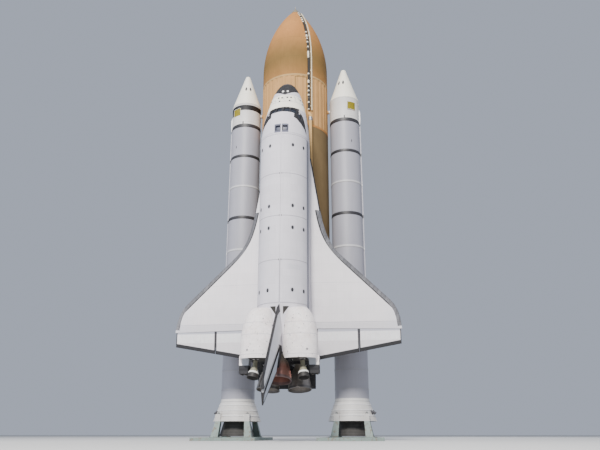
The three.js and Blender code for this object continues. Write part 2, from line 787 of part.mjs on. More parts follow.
function podNozzle() {
  const bell = [
    [26, 8.5],
    [50, 16.5],
    [POD_ENGINE.exit, 21.8],
  ];
  const inside = bell.map(([x, radius]) => [x, radius - 1.5]).reverse();
  const head = [
    [3, 0],
    [3, 8],
    [12, 8.5],
  ];
  const profile = [...head, ...bell, ...inside, [20, 0]];
  const seat = ball([0, 0, 0], POD_ENGINE.ball + RUNNING, 10);
  return turned(profile, POD_ENGINE.sides).subtract(seat);
}

// The external tank, in tank stations with its axis at y = z = 0.
const TANK_RADIUS = 165.5;
const TANK_SIDES = 36;
const OGIVE = { front: 371, back: 762.5, radius: 612 };
const INTERTANK_X = [852.8, 1123.15];
const DOME_X = [2058, 2173];
const RIBS = { count: 36, depth: 1.8 };
const BOOSTER_BOSS_X = 985;
const BOSS_RADIUS = 8;
const TRAY = { azimuth: 31, x: [392, 1044], half: 6, height: 7, lineOffset: 14, lineHalf: 2.5 };

function ogiveRadius(x) {
  const behind = OGIVE.back - Math.min(x, OGIVE.back);
  return TANK_RADIUS - OGIVE.radius + Math.sqrt(OGIVE.radius ** 2 - behind ** 2);
}

const domeProfile = (grow = 0) =>
  arc(0, 90, 5).map((degrees) => [
    DOME_X[0] + (DOME_X[1] - DOME_X[0] + grow) * Math.sin(radians(degrees)),
    (TANK_RADIUS + grow) * Math.cos(radians(degrees)),
  ]);

const noseSpike = () =>
  turned(
    [
      [322.5, 0],
      [322.5, 1.2],
      [340, 5],
      [346, 9],
      [352, 15],
      [OGIVE.front, 23.5],
      [OGIVE.front, 0],
    ],
    20,
  );

function oxygenTank() {
  const ogive = arc(OGIVE.front + TOUCH, OGIVE.back, 9).map((x) => [x, ogiveRadius(x)]);
  const back = INTERTANK_X[0] - TOUCH;
  return turned([[OGIVE.front + TOUCH, 0], ...ogive, [back, TANK_RADIUS], [back, 0]], TANK_SIDES);
}

function intertank() {
  const step = 360 / RIBS.count;
  const section = Array.from({ length: RIBS.count }).flatMap((_, i) =>
    [0, 0.4, 0.5, 0.9].map((share, corner) => {
      const angle = radians((i + share) * step);
      const radius = TANK_RADIUS - (corner > 1 ? RIBS.depth : 0);
      return [radius * Math.cos(angle), radius * Math.sin(angle)];
    }),
  );
  const bosses = [-1, 1].map((side) => {
    const [root, tip] = [158, 172].map((y) => [BOOSTER_BOSS_X, side * y, 0]);
    return bar(root, tip, BOSS_RADIUS + 3, 12, BOSS_RADIUS);
  });
  return joined([prismX(section, ...INTERTANK_X), ...bosses]);
}

function hydrogenTank(grow = 0) {
  const front = INTERTANK_X[1] + TOUCH;
  return turned([[front, 0], [front, TANK_RADIUS + grow], ...domeProfile(grow)], TANK_SIDES);
}

// A point at a height over the tank's skin, at an azimuth from the orbiter's side to starboard.
function overTank(x, azimuth, height, aside = 0) {
  const [c, s] = [Math.cos(radians(azimuth)), Math.sin(radians(azimuth))];
  const radius = ogiveRadius(x) + height;
  return [x, radius * s + aside * c, radius * c - aside * s];
}

const TRAY_STATIONS = [...arc(TRAY.x[0], 740, 8), INTERTANK_X[0], TRAY.x[1]];

// The cable tray down the oxygen tank, with the pressure line beside it on shared brackets.
function cableTray() {
  const strip = (from, to, bottom, top) =>
    loft(
      TRAY_STATIONS.map((x) => [
        overTank(x, TRAY.azimuth, bottom, from),
        overTank(x, TRAY.azimuth, top, from),
        overTank(x, TRAY.azimuth, top, to),
        overTank(x, TRAY.azimuth, bottom, to),
      ]),
    );
  const bracketAt = (x) =>
    loft(
      [x - 4, x + 4].map((end) => [
        overTank(end, TRAY.azimuth, 0.9, -1),
        overTank(end, TRAY.azimuth, 3, -1),
        overTank(end, TRAY.azimuth, 3, TRAY.lineOffset),
        overTank(end, TRAY.azimuth, 0.9, TRAY.lineOffset),
      ]),
    );
  const line = strip(TRAY.lineOffset - TRAY.lineHalf, TRAY.lineOffset + TRAY.lineHalf, 2, 6.5);
  const brackets = [410, 500, 600, 710, 820, 920, 1020].map(bracketAt);
  return joined([strip(-TRAY.half, TRAY.half, 0.7, TRAY.height), line, ...brackets]);
}

// The oxygen feed line leaves the intertank, runs aft and bends in to the orbiter's belly plate.
const FEEDLINE = {
  radius: 8.5,
  path: [
    [1052, 82, 130],
    [1078, 94, 151],
    [2026, 94, 151],
    [2080, 76, 174],
    [2080, 76, 187.9],
  ],
  bracketStations: [1200, 1430, 1660, 1890],
};

function oxygenFeedline() {
  const { radius, path, bracketStations } = FEEDLINE;
  const runs = path.slice(1).map((end, i) => bar(path[i], end, radius, 12));
  const bends = path.slice(1, -1).map((at) => ball(at, radius, 12));
  const brackets = bracketStations.map((x) => bar([x, 79, 127], [x, 94, 151], 4, 6));
  const tank = turned([[900, 0], [900, TANK_RADIUS + TOUCH], ...domeProfile(TOUCH)], TANK_SIDES);
  const ribbed = bar([1000, 0, 0], [1124.2, 0, 0], TANK_RADIUS + 0.4, 60);
  return without(joined([...runs, ...bends, ...brackets]), [tank, ribbed]);
}

// The struts between tank and orbiter: a bipod forward, two tripods and a crossbeam aft.
const BIPOD = { x: 1129.9, y: 46.5, z: 158.8, apexZ: 208, topZ: 213.3 };

function bipod() {
  const { x, y, z, apexZ, topZ } = BIPOD;
  const round = TANK_RADIUS + TOUCH;
  const tankRound = turned([[1000, 0], [1000, round], [1300, round], [1300, 0]], TANK_SIDES);
  const legs = [-1, 1].map((side) => bar([x, side * y, z - 6], [x, 0, apexZ], 3, 10, 2.5));
  const fitting = box([x - 5, x + 5], [-6, 6], [apexZ - 4, topZ]);
  return joined([...legs, fitting]).subtract(tankRound);
}

const AFT_ATTACH = { x: 2058, y: 96.5, z: 204, topZ: 223.4 };
const BELLY_PLATE = { x: [2066, 2106], y: [58, 94], z: [188, 211.2] };

function aftStruts() {
  const { x, y, z, topZ } = AFT_ATTACH;
  const half = [-1, 1].flatMap((side) => [
    bar([x, side * 123, 106], [x, side * y, z], 5, 8, 4),
    bar([1871, side * 123, 106], [x, side * y, z], 5, 8, 5),
    bar([x, side * y, z - 8], [x, side * y, topZ], 8, 12, 5.5),
  ]);
  const crossbeam = box([x - 6, x + 6], [-y, y], [z - 6, z + 6]);
  const tank = turned([[1500, 0], [1500, TANK_RADIUS + TOUCH], ...domeProfile(TOUCH)], TANK_SIDES);
  return joined([crossbeam, ...half]).subtract(tank);
}

// A booster, in its own stations with its axis at y = z = 0. The tank is on its -y side.
const BOOSTER_RADIUS = 73;
const BOOSTER_SIDES = 24;
const CASE_X = [523, 1839];
const CASE_JOINTS = [851.5, 1171.5, 1491.5];
const ATTACH_RING_X = [1505, 1520];
const BOOSTER_PIVOT_X = 1830;
const BOOSTER_BALL = 24;
const BOOSTER_SEAT = 25.5;
const SKIRT = { x: [1839.05, 1930.6], wide: 104, wall: 3, footX: 1902 };
const POST_TOP = { y: 62, z: 83, half: 11, x: 1930.65 };
const POST_FOOT = { y: 72, z: 97, half: 16 };
// The deck reaches further out on the orbiter's side, under its engines.
const MOUNT_DECK = { x: [1995, 2007], y: 130, z: [-165, 260], opening: 102 };

const CONE_BACK_X = 401;
const noseCone = () =>
  turned(
    [
      [200, 0],
      [202, 7.5],
      [210, 13],
      [395, BOOSTER_RADIUS],
      [CONE_BACK_X, BOOSTER_RADIUS],
      [CONE_BACK_X, 0],
    ],
    BOOSTER_SIDES,
  );

function forwardSkirt() {
  const [front, back] = [CONE_BACK_X + TOUCH, CASE_X[0] - TOUCH];
  const tube = turned(
    [
      [front, 0],
      [front, BOOSTER_RADIUS],
      [back, BOOSTER_RADIUS],
      [back, 0],
    ],
    BOOSTER_SIDES,
  );
  const bossX = BOOSTER_BOSS_X - BOOSTER_ORIGIN_X;
  const reach = BOOSTER_AXIS_Y - 172 - TOUCH;
  return tube.add(bar([bossX, -60, 0], [bossX, -reach, 0], BOSS_RADIUS + 4, 12, BOSS_RADIUS));
}

function motorCase() {
  const rings = [CASE_X[0] + 3, ...CASE_JOINTS].flatMap((x) => [
    [x - 3, BOOSTER_RADIUS],
    [x - 3, BOOSTER_RADIUS + 1.2],
    [x + 3, BOOSTER_RADIUS + 1.2],
    [x + 3, BOOSTER_RADIUS],
  ]);
  const [front, back] = CASE_X;
  const wall = turned([[front, 0], ...rings, [back, BOOSTER_RADIUS], [back, 0]], BOOSTER_SIDES);
  const tunnel = box(
    [front + 12, ATTACH_RING_X[0] - 4],
    [BOOSTER_RADIUS - 4, BOOSTER_RADIUS + 5],
    [-6, 6],
  );
  return joined([wall, tunnel, ball([BOOSTER_PIVOT_X, 0, 0], BOOSTER_BALL, 16)]);
}

function attachRing() {
  const [from, to] = ATTACH_RING_X;
  const inner = BOOSTER_RADIUS + TOUCH;
  const section = [
    [from, inner],
    [from, 78],
    [to, 78],
    [to, inner],
    [from, inner],
  ];
  const ring = turned(section, BOOSTER_SIDES);
  const middle = (from + to) / 2;
  const strut = (ringAngle, tankAngle) =>
    bar(
      [middle, -75 * Math.cos(radians(ringAngle)), 75 * Math.sin(radians(ringAngle))],
      [
        middle,
        160 * Math.cos(radians(tankAngle)) - BOOSTER_AXIS_Y,
        160 * Math.sin(radians(tankAngle)),
      ],
      3.5,
      8,
    );
  const struts = joined([strut(42, 35), strut(-42, -35), strut(-22, 13)]);
  const tank = bar([1400, -BOOSTER_AXIS_Y, 0], [1600, -BOOSTER_AXIS_Y, 0], TANK_RADIUS + 0.4, 80);
  const motor = bar([1400, 0, 0], [1600, 0, 0], inner + 0.5, BOOSTER_SIDES);
  return ring.add(without(struts, [tank, motor]));
}

function aftSkirt() {
  const [top, bottom] = SKIRT.x;
  const shell = turned(
    [
      [top, 66],
      [top, BOOSTER_RADIUS],
      [top + 10, BOOSTER_RADIUS + 1],
      [bottom, SKIRT.wide],
      [bottom, SKIRT.wide - SKIRT.wall],
      [top + 12, BOOSTER_RADIUS - 3],
      [top + 6, 66],
      [top, 66],
    ],
    BOOSTER_SIDES,
  );
  const { y, z, half } = POST_TOP;
  const feet = [-1, 1].flatMap((sideY) =>
    [-1, 1].map((sideZ) =>
      box(
        [SKIRT.footX, bottom],
        [sideY * y - half, sideY * y + half],
        [sideZ * z - half, sideZ * z + half],
      ),
    ),
  );
  return joined([shell, ...feet]);
}

function boosterNozzle() {
  const outside = [
    [1848, 0],
    [1848, 30],
    [1866, 32],
    [1910, 50],
    [1990, 74.8],
  ];
  const inside = [
    [1990, 72],
    [1910, 46.5],
    [1872, 28],
    [1868, 0],
  ];
  const seat = ball([BOOSTER_PIVOT_X, 0, 0], BOOSTER_SEAT, 16);
  return turned([...outside, ...inside], BOOSTER_SIDES).subtract(seat);
}

// What a booster stands on: a deck frame round the exhaust opening with four hold-down posts.
function launchMount() {
  const { x, y, z, opening } = MOUNT_DECK;
  const exhaust = bar([x[0] - 5, 0, 0], [x[1] + 5, 0, 0], opening, 32);
  const deck = box(x, [-y, y], z).subtract(exhaust);
  const square = (at, px, pz, half) => [
    [at, px - half, pz - half],
    [at, px + half, pz - half],
    [at, px + half, pz + half],
    [at, px - half, pz + half],
  ];
  const posts = [-1, 1].flatMap((sideY) =>
    [-1, 1].map((sideZ) =>
      loft([
        square(POST_TOP.x, sideY * POST_TOP.y, sideZ * POST_TOP.z, POST_TOP.half),
        square(x[0] + 2, sideY * POST_FOOT.y, sideZ * POST_FOOT.z, POST_FOOT.half),
      ]),
    ),
  );
  return joined([deck, ...posts]);
}

// Assembly: one group for each frame of stations inside the stack's own.
const stack = new THREE.Group();
stack.name = "space_shuttle";
stack.quaternion.setFromRotationMatrix(
  new THREE.Matrix4().makeBasis(
    new THREE.Vector3(0, 0, -1),
    new THREE.Vector3(1, 0, 0),
    new THREE.Vector3(0, -1, 0),
  ),
);
stack.scale.setScalar(MM_PER_INCH);
stack.position.set(0, DEPTH_MIDDLE_Z * MM_PER_INCH, FLOOR_X * MM_PER_INCH);

function frameAt(name, origin) {
  const frame = new THREE.Group();
  frame.name = name;
  frame.position.set(...origin);
  stack.add(frame);
  return frame;
}

const SIDES = [
  ["left", -1],
  ["right", 1],
];

function buildOrbiter() {
  const orbiter = frameAt("orbiter", ORBITER_ORIGIN);
  addPiece(orbiter, "nose_cap", hullLoft(HULL.slice(0, NOSE_CAP_ROWS)), GREY_CARBON);
  addPiece(orbiter, "forward_fuselage", forwardFuselage(), WHITE_BLANKET);
  addPiece(orbiter, "windshield", windowBand(424, 503, 410), GLASS);
  addPiece(orbiter, "overhead_windows", windowBand(534, 568, 470), GLASS);
  addPiece(orbiter, "flight_deck", flightDeck(), CABIN_GREY);
  addPiece(orbiter, "crew_hatch", crewHatch(), WHITE_BLANKET);
  addPiece(orbiter, "mid_fuselage", midFuselage(), WHITE_BLANKET);
  addPiece(orbiter, "aft_fuselage", aftFuselage(), WHITE_BLANKET);
  addPiece(orbiter, "body_flap", bodyFlap(), BLACK_TILE);
  addPiece(orbiter, "fin", fin(), WHITE_BLANKET);
  addPiece(orbiter, "rudder_spar", rudderSpar(), BARE_METAL);
  const door = bayDoor();
  const { wing, edge } = wingParts();
  const [panel, podBody, podBell] = [brakePanel(), pod(), podAimed(podNozzle())];
  SIDES.forEach(([side, sign]) => {
    addPiece(orbiter, `bay_door_${side}`, sided(sign, door), WHITE_BLANKET);
    addPiece(orbiter, `wing_${side}`, sided(sign, wing), WHITE_BLANKET);
    addPiece(orbiter, `leading_edge_${side}`, sided(sign, edge), GREY_CARBON);
    ELEVONS.forEach(([place, from, to]) => {
      addPiece(orbiter, `elevon_${place}_${side}`, sided(sign, elevon(from, to)), WHITE_BLANKET);
    });
    addPiece(orbiter, `speed_brake_${side}`, sided(sign, panel), WHITE_BLANKET);
    addPiece(orbiter, `oms_pod_${side}`, sided(sign, podBody), WHITE_BLANKET);
    addPiece(orbiter, `oms_nozzle_${side}`, sided(sign, podBell), NOZZLE_METAL);
  });
  MAIN_ENGINES.forEach(([name, x, y, z, up, out]) => {
    const gimbal = ball([x, y, z], GIMBAL_BALL, 10);
    addPiece(orbiter, `gimbal_${name}`, gimbal, BARE_METAL);
    addPiece(orbiter, `main_engine_${name}`, aimed(mainEngine(), [x, y, z], up, out), NOZZLE_METAL);
  });
}

function buildTank() {
  const tank = frameAt("external_tank", [0, 0, TANK_AXIS_Z]);
  addPiece(tank, "nose_spike", noseSpike(), BARE_METAL);
  addPiece(tank, "oxygen_tank", oxygenTank(), FOAM);
  addPiece(tank, "intertank", intertank(), FOAM);
  addPiece(tank, "hydrogen_tank", hydrogenTank(), FOAM);
  addPiece(tank, "cable_tray", cableTray(), FOAM);
  addPiece(tank, "oxygen_feedline", oxygenFeedline(), FOAM);
  addPiece(tank, "bipod", bipod(), BARE_METAL);
  addPiece(tank, "aft_struts", aftStruts(), BARE_METAL);
  SIDES.forEach(([side, sign]) => {
    const { x, y, z } = BELLY_PLATE;
    addPiece(tank, `umbilical_${side}`, sided(sign, box(x, y, z)), FOAM);
  });
}

function buildBoosters() {
  const pieces = [
    ["nose_cone", noseCone(), BOOSTER_PAINT],
    ["forward_skirt", forwardSkirt(), BOOSTER_PAINT],
    ["motor_case", motorCase(), BOOSTER_PAINT],
    ["attach_ring", attachRing(), BARE_METAL],
    ["aft_skirt", aftSkirt(), BOOSTER_PAINT],
    ["booster_nozzle", boosterNozzle(), DARK_LINER],
    ["launch_mount", launchMount(), STEEL_PAINT],
  ];
  SIDES.forEach(([side, sign]) => {
    const booster = frameAt(`booster_${side}`, [BOOSTER_ORIGIN_X, sign * BOOSTER_AXIS_Y, TANK_AXIS_Z]);
    pieces.forEach(([name, manifold, material]) => {
      addPiece(booster, `${name}_${side}`, sided(sign, manifold), material);
    });
  });
}

buildOrbiter();
buildTank();
buildBoosters();

export default stack;
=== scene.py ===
"""A space shuttle on its hold-down posts: surface materials, fittings, floor, light and camera.

Places are stations in inches of the real vehicle: x runs aft (down), y to starboard and z out
through the orbiter's back. INCH turns them into metres of the 1:2 model.
"""
import math

import bmesh
import bpy
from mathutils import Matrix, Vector
from mathutils.bvhtree import BVHTree

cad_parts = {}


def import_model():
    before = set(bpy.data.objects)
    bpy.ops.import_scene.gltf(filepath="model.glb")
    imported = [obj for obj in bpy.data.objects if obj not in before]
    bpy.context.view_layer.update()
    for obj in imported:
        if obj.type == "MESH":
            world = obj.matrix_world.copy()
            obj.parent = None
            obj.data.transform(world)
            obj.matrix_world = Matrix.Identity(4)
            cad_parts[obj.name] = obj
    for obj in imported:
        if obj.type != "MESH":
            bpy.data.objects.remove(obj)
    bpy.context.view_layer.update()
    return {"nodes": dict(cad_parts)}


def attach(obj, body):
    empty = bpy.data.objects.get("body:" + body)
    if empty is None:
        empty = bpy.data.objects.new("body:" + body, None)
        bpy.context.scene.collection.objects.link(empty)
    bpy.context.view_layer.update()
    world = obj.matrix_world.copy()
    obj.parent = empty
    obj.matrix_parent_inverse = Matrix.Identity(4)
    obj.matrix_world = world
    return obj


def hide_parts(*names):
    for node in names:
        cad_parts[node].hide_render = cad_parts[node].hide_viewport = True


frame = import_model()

# Station frames: where each one's zero lies in tank stations.
INCH = 0.0127
FLOOR_X = 2550
DEPTH_MIDDLE_Z = 694.85
ORBITER = (741, 0, 336.5)
TANK = (0, 0, 400)
BOOSTER_AXIS_Y = 250.5
BOOSTER_X = 543
SIDES = {"left": -1, "right": 1}
WHOLE = "stack"

# Orbiter stations.
BAY_AXIS_Z = 400
BELLY_EDGE_Z = 306
BAY_ENDS_X = (584, 1301)
DOOR_ENDS_X = (581, 1304.2)
DOOR_EDGE_ANGLES = (13.5, 88.4)
DOOR_SEAMS_X = (762, 948, 1133)
NOSE_MODULE_BACK_X = 378
HATCH_X = 522
HATCH_Z = 366
HATCH_RING_RADIUS = 18.2
# columns: station, half width, height of the widest line, top, how square the top is
CABIN_ROWS = (
    (412, 88.5, 357, 438, 2),
    (464, 96.5, 373, 483, 1.9),
    (494, 99.5, 382.5, 495, 1.95),
    (532, 102.2, 392, 501.7, 2),
    (578, 104, 400, 504, 2),
)
# columns: front and back station at the lower edge and at the upper one, lower and upper angle
WINDSHIELD_PANES = (
    (420, 456, 419, 455, 71, 87.5),
    (426, 463, 420, 457, 51, 68),
    (456, 499, 431, 469, 34, 48.5),
)
OVERHEAD_PANE = (540, 562, 540, 562, 76, 87)
FITTING_X = (630, 904, 998, 1254)
FITTING_ANGLES = (31, 62)
LEADING_APEX_X = 836
# front station, half width there, inches aft for each inch outboard
GLOVE = (611.5, 105, 6.314)
CARBON_BEND = ((864.1, 145), (1003, 167), (1058, 222))
CARBON_TIP_BEND = ((1264, 428), (1300, 464), (1372, 468.34))
CARBON_SHELL = 13.4
CARBON_WIDTH = 17
EDGE_STRIP = 5
ELEVONS = {"inboard": (126, 295), "outboard": (297, 464)}
FIN_ROOT_Z = 503
FIN_TIP_Z = 818.7
FIN_LEAD_X = 1277.8
FIN_ROOT_CHORD = 268.5
FIN_TIP_CHORD = 108.47
FIN_EDGE = 31
RUDDER_Z = (558, 813)
MAIN_ENGINES = {
    "1": ((1445, 0, 443), 16, 0),
    "2": ((1468.2, -53, 342.6), 10, -3.5),
    "3": ((1468.2, 53, 342.6), 10, 3.5),
}
BELL = ((75, 21.5), (90, 29.5), (115, 38), (157, 45.4))
BELL_WALL = 1.8
DOME_RADIUS = 60
POD_ENGINE = ((1518, 88, 492), 15.8, 6.5)
POD_BELL = ((26, 8.5), (50, 16.5), (74, 21.8))
POD_BACK_X = 1519
HOUSING_BLACK_X = 1541

# Tank stations.
TANK_RADIUS = 165.5
OGIVE_FRONT_X = 371
OGIVE_BACK_X = 762.5
OGIVE_RADIUS = 612
INTERTANK_X = (852.8, 1123.15)
TANK_RINGS_X = (620, 745, 1383, 1642, 1871)
DOME_X = (2058, 2173)
TRAY_AZIMUTH = 31
BOOSTER_BOSS_X = 985
FEEDLINE_AXIS = (94, 151)
BELLOWS_X = (1098, 1560, 2008)

# Booster stations.
BOOSTER_RADIUS = 73
CASE_X = (523, 1839)
CASE_RINGS_X = (526, 851.5, 1171.5, 1491.5)
CASE_BANDS_X = (691.5, 1011.5, 1331.5)
STIFFENERS_X = (1560, 1640, 1720, 1800)
SKIRT_X = (1849.05, 1930.6)
SKIRT_WIDE = 104
PATCH_X = (424, 466)
PATCH_ANGLES = (40, 76)
SLOT_X = 297
SLOT_ANGLES = (91, 122)
DECK_X = (1995, 2007)
POST_FOOT = (72, 97)


def world(origin, point):
    """A point of a station frame, in metres of the row frame."""
    x, y, z = (point[i] + origin[i] for i in range(3))
    return Vector((y * INCH, (DEPTH_MIDDLE_Z - z) * INCH, (FLOOR_X - x) * INCH))


def towards(x, y, z):
    """A direction of a station frame, in the row frame."""
    return Vector((y, -z, -x)).normalized()


def booster_frame(side):
    return (BOOSTER_X, SIDES[side] * BOOSTER_AXIS_Y, TANK[2])


# Node materials, read in stations.

# Degrees in a radian.
DEGREES = 57.3


class Field:
    """A number that varies over a surface."""

    def __init__(self, paint, socket):
        self.paint = paint
        self.socket = socket

    def __add__(self, other):
        return self.paint.math("ADD", self, other)

    def __sub__(self, other):
        return self.paint.math("SUBTRACT", self, other)

    def __rsub__(self, other):
        return self.paint.math("SUBTRACT", other, self)

    def __mul__(self, other):
        return self.paint.math("MULTIPLY", self, other)

    def __truediv__(self, other):
        return self.paint.math("DIVIDE", self, other)

    def __abs__(self):
        return self.paint.math("ABSOLUTE", self)

    def above(self, limit, soft=0.6):
        """1 where it is over a limit, with a soft edge."""
        inputs = {"Value": self, "From Min": limit - soft, "From Max": limit + soft}
        made = self.paint.node("ShaderNodeMapRange", inputs, interpolation_type="SMOOTHSTEP")
        return Field(self.paint, made.outputs["Result"])

    def below(self, limit, soft=0.6):
        return 1 - self.above(limit, soft)

    def between(self, low, high, soft=0.6):
        return abs(self - (low + high) / 2).below((high - low) / 2, soft)

    def repeated(self, spacing, width, start=0, soft=0.4):
        """1 on lines of a width, one each spacing."""
        return self.paint.math("PINGPONG", self - start, spacing / 2).below(width / 2, soft)

    __radd__ = __add__
    __rmul__ = __mul__


class Paint:
    """A material whose colour, gloss and relief build up in layers, on coordinates in stations."""

    def __init__(self, name, colour, roughness=0.6, metallic=0, origin=ORBITER):
        self.material = bpy.data.materials.new(name)
        self.material.use_nodes = True
        self.tree = self.material.node_tree
        self.shader = self.tree.nodes["Principled BSDF"]
        self.shader.inputs["Roughness"].default_value = roughness
        self.shader.inputs["Metallic"].default_value = metallic
        place = self.node("ShaderNodeTexCoord").outputs["Object"]
        split = self.node("ShaderNodeSeparateXYZ", {"Vector": place}).outputs
        self.x = Field(self, split["Z"]) * (-1 / INCH) + (FLOOR_X - origin[0])
        self.y = Field(self, split["X"]) * (1 / INCH) + -origin[1]
        self.z = Field(self, split["Y"]) * (-1 / INCH) + (DEPTH_MIDDLE_Z - origin[2])
        self.place = self.vector(self.x, self.y, self.z)
        self.colour = self.constant(colour)
        self.gloss = roughness
        self.metal = metallic
        self.relief = None

    def node(self, kind, inputs=None, **settings):
        made = self.tree.nodes.new(kind)
        for key, value in settings.items():
            setattr(made, key, value)
        for key, value in (inputs or {}).items():
            value = value.socket if isinstance(value, Field) else value
            if isinstance(value, bpy.types.NodeSocket):
                self.tree.links.new(value, made.inputs[key])
            else:
                made.inputs[key].default_value = value
        return made

    def math(self, operation, *values):
        inputs = dict(enumerate(values))
        made = self.node("ShaderNodeMath", inputs, operation=operation)
        return Field(self, made.outputs[0])

    def vector(self, x, y, z):
        return self.node("ShaderNodeCombineXYZ", {"X": x, "Y": y, "Z": z}).outputs[0]

    def constant(self, colour):
        made = self.node("ShaderNodeRGB")
        made.outputs[0].default_value = (*colour, 1)
        return made.outputs[0]

    def either(self, *masks):
        whole = masks[0]
        for mask in masks[1:]:
            whole = self.math("MAXIMUM", whole, mask)
        return whole

    def noise(self, size, detail=3, stretch=(1, 1, 1)):
        scaled = self.node(
            "ShaderNodeVectorMath",
            {0: self.place, 1: tuple(1 / (size * s) for s in stretch)},
            operation="MULTIPLY",
        )
        inputs = {"Vector": scaled.outputs[0], "Scale": 1, "Detail": detail}
        return Field(self, self.node("ShaderNodeTexNoise", inputs).outputs["Fac"])

    def chance(self, *values):
        """A number from 0 to 1 for each cell that the whole parts of the values name."""
        whole = [self.math("FLOOR", value) for value in values] + [0] * (3 - len(values))
        made = self.node("ShaderNodeTexWhiteNoise", {"Vector": self.vector(*whole)})
        return Field(self, made.outputs["Value"])

    def distance(self, one, other):
        """How far a place is off in two directions together."""
        return self.math("SQRT", one * one + other * other)

    def angle(self, axis_z=0):
        """Degrees round an axis along x, where 90 is straight out through the back."""
        made = self.math("ARCTAN2", self.z - axis_z, self.y)
        return made * (180 / math.pi)

    def cover(self, colour, mask):
        """Lays a colour over what is there."""
        colour = self.constant(colour) if isinstance(colour, tuple) else colour
        inputs = {0: mask, 6: self.colour, 7: colour}
        self.colour = self.node("ShaderNodeMix", inputs, data_type="RGBA").outputs[2]

    def shade(self, field, amount):
        """Darkens and lightens the colour by a field around a half."""
        factor = (field - 0.5) * (2 * amount) + 1
        scaled = self.node(
            "ShaderNodeVectorMath", {0: self.colour, "Scale": factor}, operation="SCALE"
        )
        self.colour = scaled.outputs[0]

    def mottle(self, amount, *noise):
        self.shade(self.noise(*noise), amount)

    def grain(self, inches, *noise):
        self.raise_by(self.noise(*noise) * inches)

    def raise_by(self, inches):
        self.relief = inches if self.relief is None else self.relief + inches

    def mixed(self, before, mask, value):
        return self.math("MULTIPLY_ADD", mask, self.math("SUBTRACT", value, before), before)

    def roughen(self, mask, value):
        self.gloss = self.mixed(self.gloss, mask, value)

    def turn_metal(self, mask, value):
        self.metal = self.mixed(self.metal, mask, value)

    def done(self):
        self.tree.links.new(self.colour, self.shader.inputs["Base Color"])
        if isinstance(self.gloss, Field):
            self.tree.links.new(self.gloss.socket, self.shader.inputs["Roughness"])
        if isinstance(self.metal, Field):
            self.tree.links.new(self.metal.socket, self.shader.inputs["Metallic"])
        if self.relief is not None:
            inputs = {"Height": self.relief, "Distance": INCH, "Strength": 1}
            bump = self.node("ShaderNodeBump", inputs)
            self.tree.links.new(bump.outputs["Normal"], self.shader.inputs["Normal"])
        return self.material


# Colours, as light values.
WHITE = (0.655, 0.635, 0.69)
WING_WHITE = (0.80, 0.765, 0.79)
POD_WHITE = (0.90, 0.845, 0.84)
SHADE_GREY = (0.33, 0.35, 0.42)
SEAM_GREY = (0.30, 0.30, 0.36)
TILE_BLACK = (0.012, 0.012, 0.015)
TILE_EDGE = (0.055, 0.055, 0.06)
TILE_WORN = (0.045, 0.045, 0.05)
SEAL_BLACK = (0.03, 0.03, 0.035)
CARBON_GREY = (0.16, 0.16, 0.175)
FRAME_BLUE = (0.06, 0.07, 0.125)
FOAM_ORANGE = (0.43, 0.20, 0.065)
FOAM_TAN = (0.48, 0.275, 0.11)
FOAM_OLIVE = (0.13, 0.092, 0.033)
FOAM_PALE = (0.58, 0.37, 0.16)
# The hydrogen tank's brown foam, darkened as painted shade.
FOAM_SHADED_BROWN = (0.125, 0.103, 0.056)
BOOSTER_WHITE = (0.66, 0.65, 0.64)
# The motor cases' white paint, drawn darker and more lilac as painted shade on their upright sides.
CASE_SHADED_LILAC = (0.335, 0.335, 0.385)
# The nose cones drawn lighter and warmer than the boosters' white, as painted light where they face up.
CONE_LIT_CREAM = (0.93, 0.90, 0.78)
JOINT_TAN = (0.42, 0.27, 0.12)
STEEL = (0.42, 0.43, 0.45)
PATCH_OLIVE = (0.25, 0.20, 0.004)
DECK_GREEN = (0.21, 0.27, 0.25)
BAND_GREY = (0.3, 0.3, 0.31)


def tiles(paint, across, along, size=6):
    """Masks of a grid of square tiles: the gaps between them, and a number for each tile."""
    gaps = (field.repeated(size, 0.25, soft=0.2) for field in (across, along))
    return paint.either(*gaps), paint.chance(across / size, along / size)


def blankets(paint, across, along, size=30, amount=0.03):
    """Quilted blankets: square patches with a faint seam round each."""
    seam = paint.either(across.repeated(size, 0.5), along.repeated(size, 0.5))
    paint.shade(paint.chance(across / size, along / size), amount)
    paint.cover(SEAM_GREY, seam * 0.22)
    paint.raise_by(paint.math("PINGPONG", across, 0.5) * paint.math("PINGPONG", along, 0.5) * 0.25)
    paint.raise_by(seam * -0.12)


def weathered(paint, amount=0.05, streak=0.06):
    """Broad patches, and streaks that run down."""
    paint.mottle(amount, 70, 4)
    paint.mottle(streak, 5, 3, (14, 1, 1))
    paint.grain(0.06, 1.2, 2)


def black_tiles(paint, mask, across, along):
    gap, tone = tiles(paint, across, along)
    paint.cover(TILE_BLACK, mask)
    paint.cover(TILE_WORN, mask * tone.above(0.72, 0.25) * 0.45)
    paint.cover(TILE_EDGE, mask * gap * 0.8)
    paint.roughen(mask, 0.75)
    paint.raise_by(mask * gap * -0.3)


# Shapes: lists of points in the row frame and of the faces between them.

# Edges over these angles in degrees stay sharp: on the pieces made here and on the CAD's nodes.
SHARP_ANGLE = 32
SMOOTH_ANGLE = 34
# How deep a strip's foot is sunk, in inches.
SUNK = 0.3


class Shape:
    def __init__(self):
        self.points = []
        self.faces = []

    def add(self, points, faces):
        first = len(self.points)
        self.points.extend(Vector(p) for p in points)
        self.faces.extend([first + i for i in face] for face in faces)
        return self


def joined(*shapes):
    whole = Shape()
    for shape in shapes:
        whole.add(shape.points, shape.faces)
    return whole


def skin(rows, closed=False, round_trip=False, capped=False):
    """Faces through rows of points. closed joins each row's ends, round_trip the last row to
    the first, and capped fills the first and the last row."""
    count = len(rows[0])
    faces = []
    for r in range(len(rows) if round_trip else len(rows) - 1):
        a, b = r * count, ((r + 1) % len(rows)) * count
        for i in range(count if closed else count - 1):
            j = (i + 1) % count
            faces.append([a + i, a + j, b + j, b + i])
    if capped:
        faces.append(list(range(count))[::-1])
        faces.append([(len(rows) - 1) * count + i for i in range(count)])
    return Shape().add([p for row in rows for p in row], faces)


